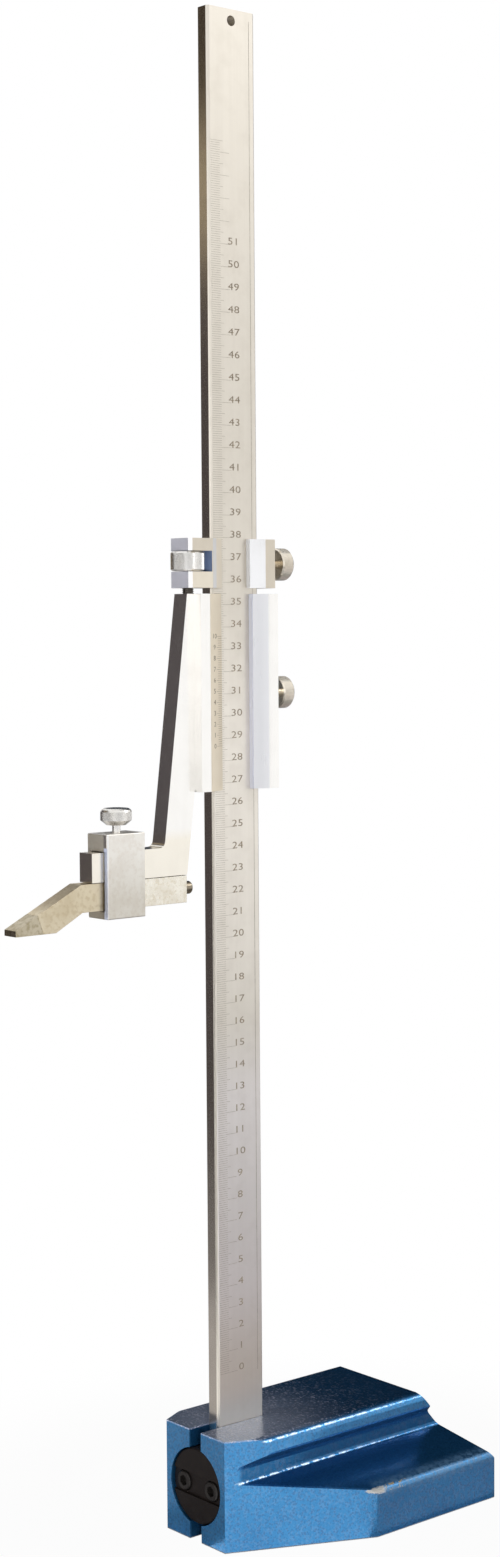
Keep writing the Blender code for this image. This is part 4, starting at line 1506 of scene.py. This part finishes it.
@dataclass
class DiscClamp:
    """The black disc in the nose and its two socket screws."""

    finishes: Finishes
    band_height: float = 0.0104     # the band that is cut across its face
    band_depth: float = 0.0013
    edge: float = 0.0006
    head_radius: float = 0.0045
    head_length: float = 0.0034
    shank_radius: float = 0.0025
    socket_width: float = 0.0044
    socket_depth: float = 0.0022
    head_edge: float = 0.0005
    shank_edge: float = 0.0003
    hole_edge: float = 0.0002
    socket_edge: float = 0.00015

    def build(self) -> None:
        """Make the disc and its screws."""
        low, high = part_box("clamp_disc")
        radius = (high.x - low.x) / 2
        centre = Vector((0, low.y, (low.z + high.z) / 2))
        back = low.y - high.y
        profile = [(0, back), (radius, back), (radius, -self.edge), (radius - self.edge, 0), (0, 0)]
        disc = bench.lathe("clamp_disc_turned", profile, DISC_SIDES)
        bench.place(disc, centre, TO_FRONT)
        half = self.band_height / 2
        bench.mill(disc, (low.x - OVERRUN, low.y - OVERRUN, centre.z - half),
                   (high.x + OVERRUN, low.y + self.band_depth, centre.z + half))
        for side in ("left", "right"):
            screw_low, screw_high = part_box("disc_screw_" + side)
            place = Vector(((screw_low.x + screw_high.x) / 2, low.y, centre.z))
            seat = low.y - screw_low.y - self.head_length
            bench.drill(disc, self.head_radius + CAD_GAP, seat - CAD_GAP, OVERRUN, place, TO_FRONT,
                        ROUND_SIDES)
            bench.drill(disc, self.shank_radius + CAD_GAP, back - OVERRUN, seat, place, TO_FRONT,
                        SHANK_SIDES)
            self.screw(side, screw_low, screw_high)
        bench.soften(disc, self.hole_edge, 2)
        bench.shade(disc)
        hand_over(disc, Body.ROOT, Slot.BLACK, self.finishes.black, "clamp_disc")

    def screw(self, side: str, low: Vector, high: Vector) -> None:
        """Make one socket screw.

        Args:
            side: left or right.
            low: the lowest corner of its CAD node.
            high: the highest one.
        """
        length = high.y - low.y
        head = self.head_radius
        shank = self.shank_radius
        profile = [(0, -length), (shank - self.shank_edge, -length), (shank, -length + self.shank_edge),
                   (shank, -self.head_length), (head, -self.head_length), (head, -self.head_edge),
                   (head - self.head_edge, 0), (0, 0)]
        screw = bench.lathe("socket_screw_" + side, profile, ROUND_SIDES)
        place = Vector(((low.x + high.x) / 2, low.y, (low.z + high.z) / 2))
        bench.place(screw, place, TO_FRONT)
        bench.drill(screw, self.socket_width / math.sqrt(3), -self.socket_depth, OVERRUN, place, TO_FRONT,
                    HEXAGON)
        bench.soften(screw, self.socket_edge, 2)
        bench.shade(screw)
        hand_over(screw, Body.ROOT, Slot.BLACK, self.finishes.socket, "disc_screw_" + side)


@dataclass
class ThumbScrew:
    """A knurled lock screw along Y, its head at the +Y end."""

    finishes: Finishes
    node: str                   # the CAD node that it stands for
    body: Body                  # the body that it turns with
    head_length: float = 0.0066
    shank_radius: float = 0.002
    edge: float = KNURL_EDGE
    neck_share: float = 0.55    # where the head's underside begins to slope, as a share of its radius
    slope: float = 0.15         # how far it slopes, as a share of the edge
    rim_share: float = 0.62     # the rim of the dish in the head's end, as a share of its radius
    dish_share: float = 0.56    # and the dish's floor
    dish: float = 0.5           # its depth, as a share of the edge

    def build(self) -> None:
        """Turn and knurl the screw and set it on its body."""
        low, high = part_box(self.node)
        radius = (high.x - low.x) / 2
        length = high.y - low.y
        edge = self.edge
        shank = self.shank_radius
        near = length - self.head_length
        floor = length - edge * self.dish
        knurl = Knurl(radius, near + edge, length - edge)
        profile = [(0, 0), (shank - edge / 2, 0), (shank, edge / 2), (shank, near),
                   (radius * self.neck_share, near), (radius - edge, near + edge * self.slope)]
        profile += knurl.band
        profile += [(radius - edge, length), (radius * self.rim_share, length),
                    (radius * self.dish_share, floor), (0, floor)]
        screw = bench.lathe(self.node + "_knurled", profile, knurl.columns)
        knurl.roll(screw)
        bench.place(screw, Vector(((low.x + high.x) / 2, low.y, (low.z + high.z) / 2)), TO_REAR)
        bench.shade(screw, KNURL_SHARP)
        hand_over(screw, self.body, Slot.KNURLED, self.finishes.knurled, self.node)


@dataclass
class Runner:
    """A block that runs on the beam, with what all such blocks share."""

    finishes: Finishes
    edge: float = 0.00025
    seam: float = 0.00006       # what shows of the gaps that are wider in the CAD model

    def close_lip(self, block: bpy.types.Object) -> None:
        """Bring the lip behind the window up to the beam's face, so that only a fine line shows.

        Args:
            block: the block.
        """
        low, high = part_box("beam")
        wall = high.x + CAD_GAP
        middle = (low.y + high.y) / 2
        bench.edit(block)
        bench.select(Pick.VERTS, lambda vert: abs(vert.co.x - wall) < TOUCH and vert.co.y > middle)
        bpy.ops.transform.translate(value=(self.seam - CAD_GAP, 0, 0))
        bench.leave(block.name)


@dataclass
class Carriage(Runner):
    """The fine adjustment carriage, its nut, gib and lock screw."""

    def nut(self) -> None:
        """The knurled nut in the fork."""
        low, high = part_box("fine_adjust_nut")
        rod_low, rod_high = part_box("fine_adjust_rod")
        radius = (high.x - low.x) / 2
        bore = (rod_high.x - rod_low.x) / 2 + CAD_GAP
        length = high.z - low.z
        side = radius - KNURL_EDGE
        knurl = Knurl(radius, KNURL_EDGE, length - KNURL_EDGE)
        profile = [(bore, 0), (side, 0)] + knurl.band + [(side, length), (bore, length), (bore, 0)]
        nut = bench.lathe("fine_adjust_nut_knurled", profile, knurl.columns)
        knurl.roll(nut)
        bench.place(nut, Vector(((low.x + high.x) / 2, (low.y + high.y) / 2, low.z)), UPRIGHT)
        bench.shade(nut, KNURL_SHARP)
        hand_over(nut, Body.NUT, Slot.KNURLED, self.finishes.bright_knurled, "fine_adjust_nut")

    def build(self) -> None:
        """Make the carriage and what it carries."""
        dress_copy("carriage_body", "carriage_block", Body.CARRIAGE, Slot.BRIGHT, self.finishes.carriage,
                   self.edge, reshape=self.close_lip)
        dress_copy("carriage_gib", "carriage_gib_strip", Body.CARRIAGE, Slot.BRASS, self.finishes.brass,
                   self.edge / 2)
        self.nut()
        ThumbScrew(self.finishes, "carriage_lock_screw", Body.CARRIAGE_LOCK).build()


@dataclass
class SliderUnit(Runner):
    """The slider with its arm and jaw, the vernier, the gib and its screws, and the threaded rod."""

    pitch: float = 0.0008
    thread_depth: float = 0.00045
    flanks: tuple[float, float, float, float] = (0.12, 0.46, 0.58, 0.92)    # up and down, in turns
    thread_steps: int = 20      # faces round each turn
    spare_turns: int = 3        # turns beyond the rod's length, for its clean ends
    lead: float = 1.3           # how many of them lie below its foot
    vernier_zero: float = 0.362
    vernier_step: float = 0.00098
    plate_edge: float = 0.0003  # the plate's straight edge before its bevel, along Y
    thin_edge: float = 0.0005   # and what is left of its thickness where the bevel ends
    line_thin: float = 0.00012
    line_inset: float = 0.0002  # the bare strip at the thin edge
    short_line: float = 0.0038
    long_line: float = 0.0052
    number_inset: float = 0.0072        # from the lines' end at the thin edge to the numbers' middle
    number_height: float = 0.0021
    number_drop: float = 0.4            # how far a number reaches below its line, as a share of its height

    def rod(self) -> None:
        """The threaded rod that stands in the top of the arm."""
        low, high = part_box("fine_adjust_rod")
        radius = (high.x - low.x) / 2
        root = radius - self.thread_depth
        pitch = self.pitch
        turns = math.ceil((high.z - low.z) / pitch) + self.spare_turns
        start, highlight, crest_end, end = (pitch * share for share in self.flanks)
        profile = [(root, 0.0), (root, start), (radius, highlight), (radius, crest_end), (root, end),
                   (root, pitch)]
        bench.trace([Vector((across, 0, up)) for across, up in profile])
        rod = bench.leave("fine_adjust_rod_threaded")
        bench.apply(rod, "SCREW", steps=self.thread_steps, render_steps=self.thread_steps,
                    screw_offset=pitch, iterations=turns, use_merge_vertices=True, merge_threshold=WELD)
        bench.place(rod, Vector((0, (low.y + high.y) / 2, low.z - pitch * self.lead)), UPRIGHT)
        bench.edit(rod)
        bench.select_all()
        bpy.ops.mesh.remove_doubles(threshold=WELD)
        for height, way in ((low.z, -1), (high.z, 1)):
            bench.select_all()
            bpy.ops.mesh.bisect(plane_co=(0, 0, height), plane_no=(0, 0, way), use_fill=True,
                                clear_outer=True, threshold=WELD / 10)
        bench.select_all()
        bpy.ops.mesh.remove_doubles(threshold=WELD)
        bpy.ops.mesh.normals_make_consistent(inside=False)
        rod = bench.leave("fine_adjust_rod_threaded")
        bench.shade(rod, KNURL_SHARP)
        hand_over(rod, Body.SLIDER, Slot.BRIGHT, self.finishes.thread, "fine_adjust_rod")

    def close_front(self, plate: bpy.types.Object) -> None:
        """Bring the front of the vernier plate up to the slider, so that only a fine line shows.

        Args:
            plate: the plate.
        """
        low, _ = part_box("vernier_plate")
        bench.edit(plate)
        bench.select(Pick.VERTS, lambda vert: vert.co.y < low.y + WELD)
        bpy.ops.transform.translate(value=(0, self.seam - CAD_GAP, 0))
        bench.leave(plate.name)

    def vernier(self) -> None:
        """The lines and numbers on the plate's bevel."""
        low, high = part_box("vernier_plate")
        front = Vector((high.x, low.y + self.plate_edge, 0))
        window = Vector((low.x + self.thin_edge, high.y, 0))
        across = (window - front).normalized()
        normal = across.cross(Vector((0, 0, 1)))
        marks = Marks(Facet(Vector((front.x, front.y, self.vernier_zero)), across, normal), self.line_thin)
        step = self.vernier_step
        end = (window - front).length - self.line_inset
        ones = [(step * first, step * 5, 10) for first in (1, 2, 3, 4)]
        lines = marks.lines("vernier_lines", end - self.short_line, end, ones)
        fives = marks.lines("vernier_fives", end - self.long_line, end, [(0, step * 5, 11)])
        lines = marks.lay(bench.join("vernier_lines", [lines, fives]))
        hand_over(lines, Body.SLIDER, Slot.BRIGHT, self.finishes.vernier_ink)
        drop = self.number_height * self.number_drop
        places = [(str(value), end - self.number_inset, step * 5 * value - drop) for value in range(11)]
        numbers = marks.lay(marks.numbers("vernier_numbers", places, self.number_height))
        hand_over(numbers, Body.SLIDER, Slot.BRIGHT, self.finishes.vernier_ink)

    def build(self) -> None:
        """Make the slider and what is fixed to it."""
        dress_copy("slider_body", "slider_block", Body.SLIDER, Slot.BRIGHT, self.finishes.upright,
                   self.edge, reshape=self.close_lip)
        for node, slot, finish in (
                ("slider_gib", Slot.BRASS, self.finishes.brass),
                ("slider_gib_screw_lower", Slot.BRIGHT, self.finishes.ground),
                ("slider_gib_screw_upper", Slot.BRIGHT, self.finishes.ground)):
            dress_copy(node, node + "_dressed", Body.SLIDER, slot, finish, self.edge / 2)
        dress_copy("vernier_plate", "vernier_bevel", Body.SLIDER, Slot.BRIGHT, self.finishes.plate,
                   self.edge / 3, reshape=self.close_front)
        self.vernier()
        self.rod()
        ThumbScrew(self.finishes, "slider_lock_screw", Body.SLIDER_LOCK).build()


@dataclass
class ScriberClamp:
    """The frame round the jaw and the scriber, and its thumb screw."""

    finishes: Finishes
    edge: float = 0.0008
    head_length: float = 0.0074
    shank_radius: float = 0.0018
    cone: float = 0.0021        # the height of the head's sloping underside
    crown: float = 0.0016       # and of its rounded top
    neck_share: float = 0.62    # the head's least radius, as a share of its greatest
    cone_end: tuple[float, float] = (0.93, 0.82)    # where the slope ends, in shares of radius and cone
    crown_form: tuple[tuple[float, float], ...] = (     # shares of the radius, and of the crown downwards
        (0.93, 0.45), (0.8, 0.1), (0.6, 0.0))

    def build(self) -> None:
        """Make the frame and the screw."""
        dress_copy("clamp_frame", "scriber_clamp_frame", Body.CLAMP, Slot.BRIGHT, self.finishes.matte,
                   self.edge, 3)
        low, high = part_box("clamp_screw")
        radius = (high.x - low.x) / 2
        length = high.z - low.z
        under = length - self.head_length
        knurl = Knurl(radius, under + self.cone, length - self.crown)
        out, up = self.cone_end
        profile = [(0, 0), (self.shank_radius, 0), (self.shank_radius, under),
                   (radius * self.neck_share, under), (radius * out, under + self.cone * up)]
        profile += knurl.band
        profile += [(radius * share, length - self.crown * down) for share, down in self.crown_form]
        profile += [(0, length)]
        screw = bench.lathe("clamp_screw_knurled", profile, knurl.columns)
        knurl.roll(screw)
        bench.place(screw, Vector((0, (low.y + high.y) / 2, low.z)), UPRIGHT)
        bench.shade(screw, KNURL_SHARP)
        hand_over(screw, Body.CLAMP_SCREW, Slot.KNURLED, self.finishes.bright_knurled, "clamp_screw")


@dataclass
class Scriber:
    """The bent scriber bar, its carbide tip and the pin in its rear end."""

    finishes: Finishes
    edge: float = 0.00012
    pin_edge: float = 0.0006
    round_share: float = 0.3    # how far in the middle of that rounded edge lies, as a share of it
    seam: float = 0.00004       # what shows of the brazed joint

    def seat(self, tip: bpy.types.Object) -> None:
        """Close the joint behind the carbide: its two rear corners move along the faces that they end.

        Args:
            tip: the carbide tip.
        """
        low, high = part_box("carbide_tip")
        highlight = max((vert.co for vert in tip.data.vertices), key=lambda place: place.z)
        front = max((vert.co for vert in tip.data.vertices if vert.co.y < low.y + TOUCH),
                    key=lambda place: place.z)
        slope = (highlight.z - front.z) / (highlight.y - front.y)
        reach = CAD_GAP - self.seam
        bench.edit(tip)
        bench.select(Pick.VERTS, lambda vert: vert.co.z > high.z - TOUCH)
        bpy.ops.transform.translate(value=(0, reach, reach * slope))
        bench.select(Pick.VERTS, lambda vert: vert.co.y > high.y - TOUCH)
        bpy.ops.transform.translate(value=(0, reach, 0))
        bench.leave(tip.name)

    def build(self) -> None:
        """Make the bar, the tip and the pin."""
        dress_copy("scriber_bar", "scriber_bar_ground", Body.SCRIBER, Slot.BRIGHT, self.finishes.bar,
                   self.edge)
        dress_copy("carbide_tip", "carbide_tip_ground", Body.SCRIBER, Slot.CARBIDE, self.finishes.carbide,
                   self.edge / 3, reshape=self.seat)
        low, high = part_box("scriber_pin")
        radius = (high.x - low.x) / 2
        length = high.y - low.y
        edge = self.pin_edge
        middle = edge * self.round_share
        profile = [(0, 0), (radius, 0), (radius, length - edge), (radius - middle, length - middle),
                   (radius - edge, length), (0, length)]
        pin = bench.lathe("scriber_pin_turned", profile, ROUND_SIDES)
        bench.place(pin, Vector((0, low.y, (low.z + high.z) / 2)), TO_REAR)
        bench.shade(pin, PIN_SHARP)
        hand_over(pin, Body.SCRIBER, Slot.BLACK, self.finishes.pin, "scriber_pin")


@dataclass(frozen=True)
class Card:
    """A plain card in the studio that only reflections see."""

    name: str
    centre: tuple[float, float, float]
    width: float
    height: float
    toward: tuple[float, float, float]      # the place that it faces
    colour: Colour
    strength: float = 1.0


@dataclass(frozen=True)
class Lamp:
    """A soft square lamp."""

    name: str
    centre: tuple[float, float, float]
    size: float
    power: float
    gloss_only: bool = False    # whether it lights what is glossy, instead of what is dull


@dataclass
class Studio:
    """The camera at the photograph's viewing angle, the floor, the lamps and the cards round it."""

    cards: tuple[Card, ...] = (
        Card("card_front", (-0.56, -0.50, 0.345), 1.0, 0.69, (0, 0, 0.345), (0.078, 0.068, 0.070)),
        Card("card_front_gap", (-0.57, -0.51, 0.74), 1.0, 0.14, (0, 0, 0.74), (0.42, 0.35, 0.25)),
        Card("card_front_high", (-0.56, -0.50, 1.00), 1.0, 0.44, (0, 0, 1.00), (0.055, 0.043, 0.032)),
        Card("card_rear", (-0.48, 0.96, 0.72), 1.22, 1.7, (0.27, 0.31, 0.1), (0.004, 0.014, 0.03)),
        Card("card_slope", (-0.87, 0.40, 0.92), 0.42, 0.6, (0, -0.1, 0.3), (0.28, 0.255, 0.23)),
        Card("card_side", (1.0, 0.02, 0.38), 0.42, 0.46, (0, 0, 0.38), (0.74, 0.74, 0.76)),
        Card("card_camera", (0.86, -0.97, 0.035), 0.7, 0.37, (0, 0, 0.2), (0.25, 0.24, 0.25)),
        Card("card_bright", (0.86, -0.97, 0.515), 0.42, 0.55, (0, 0, 0.4), (1.0, 1.0, 1.0), 1.25),
        Card("card_pool", (0.33, -0.165, 0.0005), 0.64, 0.31, (0.33, -0.165, 1), (1.0, 1.0, 1.0), 1.05),
        Card("card_pool_side", (0.21, 0.07, 0.0005), 0.31, 0.15, (0.21, 0.07, 1), (0.44, 0.38, 0.40)),
        Card("card_pool_front", (-0.22, -0.24, 0.0005), 0.36, 0.36, (-0.22, -0.24, 1), (0.45, 0.43, 0.43)),
        Card("card_pool_far", (-0.43, -0.42, 0.0007), 0.26, 0.26, (-0.43, -0.42, 1), (0.17, 0.16, 0.16)),
        Card("card_band", (0.75, 0.66, 0.62), 0.7, 0.10, (0, 0, 0.62), (0.40, 0.39, 0.38)),
    )
    lamps: tuple[Lamp, ...] = (
        Lamp("key", (1.06, -0.72, 0.12), 0.4, 10.0),
        Lamp("front", (-0.5, -1.2, 0.15), 0.4, 8.0),
        Lamp("glint", (1.37, 1.89, 1.92), 0.30, 8.0, True),
    )
    aim: tuple[float, float, float] = (0.0, 0.0, 0.15)
    eye: tuple[float, float, float] = (0.8319, -0.7386, 0.4158)
    turn: tuple[float, float, float] = (1.5099, 0.0070, 0.8679)
    lens: float = 55.32
    shift: tuple[float, float] = (-0.00154, -0.0046)
    clip: tuple[float, float] = (0.01, 50.0)
    ambient: float = 0.09
    floor_size: float = 40.0
    floor_level: float = -0.0001
    floor_white: float = 0.965  # how far the floor near the gauge looks white to the camera
    floor_fade: tuple[float, float] = (0.12, 0.25)      # where it gets fully white, from the origin
    gloss_fade: tuple[float, float] = (0.1, 2.2)        # and where it does so in reflections

    def camera(self) -> None:
        """Set the camera."""
        data = bpy.data.cameras.new("camera")
        data.lens = self.lens
        data.shift_x, data.shift_y = self.shift
        data.clip_start, data.clip_end = self.clip
        camera = bpy.data.objects.new("camera", data)
        camera.location = self.eye
        camera.rotation_euler = self.turn
        bpy.context.scene.collection.objects.link(camera)
        bpy.context.scene.camera = camera

    def floor(self) -> None:
        """The pale floor: it keeps the shadow near the gauge and fades to white away from it."""
        bench.clear()
        bpy.ops.mesh.primitive_plane_add(size=self.floor_size, location=(0, 0, self.floor_level))
        floor = bpy.context.object
        floor.name = "floor"
        board = Board("pale_floor")
        away = board.maths("SQRT", board.axis(0) ** 2.0 + board.axis(1) ** 2.0)
        to_camera = away.rise(*self.floor_fade) * (1 - self.floor_white) + self.floor_white
        to_gloss = board.maths("MAXIMUM", board.ray(Ray.GLOSS), board.ray(Ray.GLASS))
        share = to_gloss * away.rise(*self.gloss_fade) + board.ray(Ray.CAMERA) * to_camera
        white = board.add("Emission", None, {"Color": WHITE, "Strength": 1.0})
        material = board.surface(Base_Color=(0.8, 0.8, 0.8, 1.0), Roughness=0.95)
        mixed = board.add("MixShader", None, {0: share, 1: Wire(board, board.shader.outputs[0]), 2: white})
        board.feed(board.tree.nodes["Material Output"].inputs["Surface"], mixed)
        floor.data.materials.append(material)

    def stand(self, card: Card) -> None:
        """Stand a card in its place, where only reflections see it.

        Args:
            card: the card.
        """
        bench.clear()
        bpy.ops.mesh.primitive_plane_add(size=1)
        piece = bpy.context.object
        piece.name = card.name
        piece.scale = (card.width, card.height, 1)
        centre = Vector(card.centre)
        piece.rotation_euler = (Vector(card.toward) - centre).to_track_quat("Z", "Y").to_euler()
        piece.location = centre
        bench.settle(piece)
        material = Board(card.name).surface(
            Base_Color=BLACK, Roughness=1.0, Specular_IOR_Level=0.0,
            Emission_Color=(*card.colour, 1.0), Emission_Strength=card.strength)
        piece.data.materials.append(material)
        piece.visible_camera = False
        piece.visible_shadow = False
        piece.visible_diffuse = False

    def light(self, lamp: Lamp) -> None:
        """Hang a soft square lamp that lights either what is dull or what is glossy.

        Args:
            lamp: the lamp.
        """
        data = bpy.data.lights.new(lamp.name, "AREA")
        data.shape = "SQUARE"
        data.size = lamp.size
        data.energy = lamp.power
        piece = bpy.data.objects.new(lamp.name, data)
        piece.location = lamp.centre
        aim = Vector(self.aim) - Vector(lamp.centre)
        piece.rotation_euler = aim.to_track_quat("-Z", "Y").to_euler()
        piece.visible_camera = False
        piece.visible_diffuse = not lamp.gloss_only
        piece.visible_glossy = lamp.gloss_only
        bpy.context.scene.collection.objects.link(piece)

    def world(self) -> None:
        """White to the camera, to gloss and to glass, and a plain grey level of light on the object."""
        world = bpy.data.worlds.new("studio")
        bpy.context.scene.world = world
        board = Board(world.name, world)
        board.tree.nodes.clear()
        light = board.add("Background", None, {"Color": WHITE, "Strength": self.ambient})
        seen = board.add("Background", None, {"Color": WHITE, "Strength": 1.0})
        camera, gloss, glass = (board.ray(kind) for kind in Ray)
        share = board.maths("MAXIMUM", board.maths("MAXIMUM", camera, gloss), glass)
        mixed = board.add("MixShader", None, {0: share, 1: light, 2: seen})
        out = board.tree.nodes.new("ShaderNodeOutputWorld")
        board.feed(out.inputs["Surface"], mixed)

    def build(self) -> None:
        """Set up the studio."""
        bpy.context.scene.view_settings.view_transform = "Standard"
        self.camera()
        self.floor()
        self.world()
        for card in self.cards:
            self.stand(card)
        for lamp in self.lamps:
            self.light(lamp)


def main() -> None:
    """Build the studio and the sub-assemblies in order."""
    logging.basicConfig(level=logging.INFO, format="%(name)s: %(message)s")
    Studio().build()
    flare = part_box("base")[0].y + BaseCasting.flare_length
    finishes = Finishes(flare, BaseCasting.wing_outer)
    for unit in (BaseCasting, Column, DiscClamp, Carriage, SliderUnit, ScriberClamp, Scriber):
        unit(finishes).build()


if __name__ == "__main__":
    main()
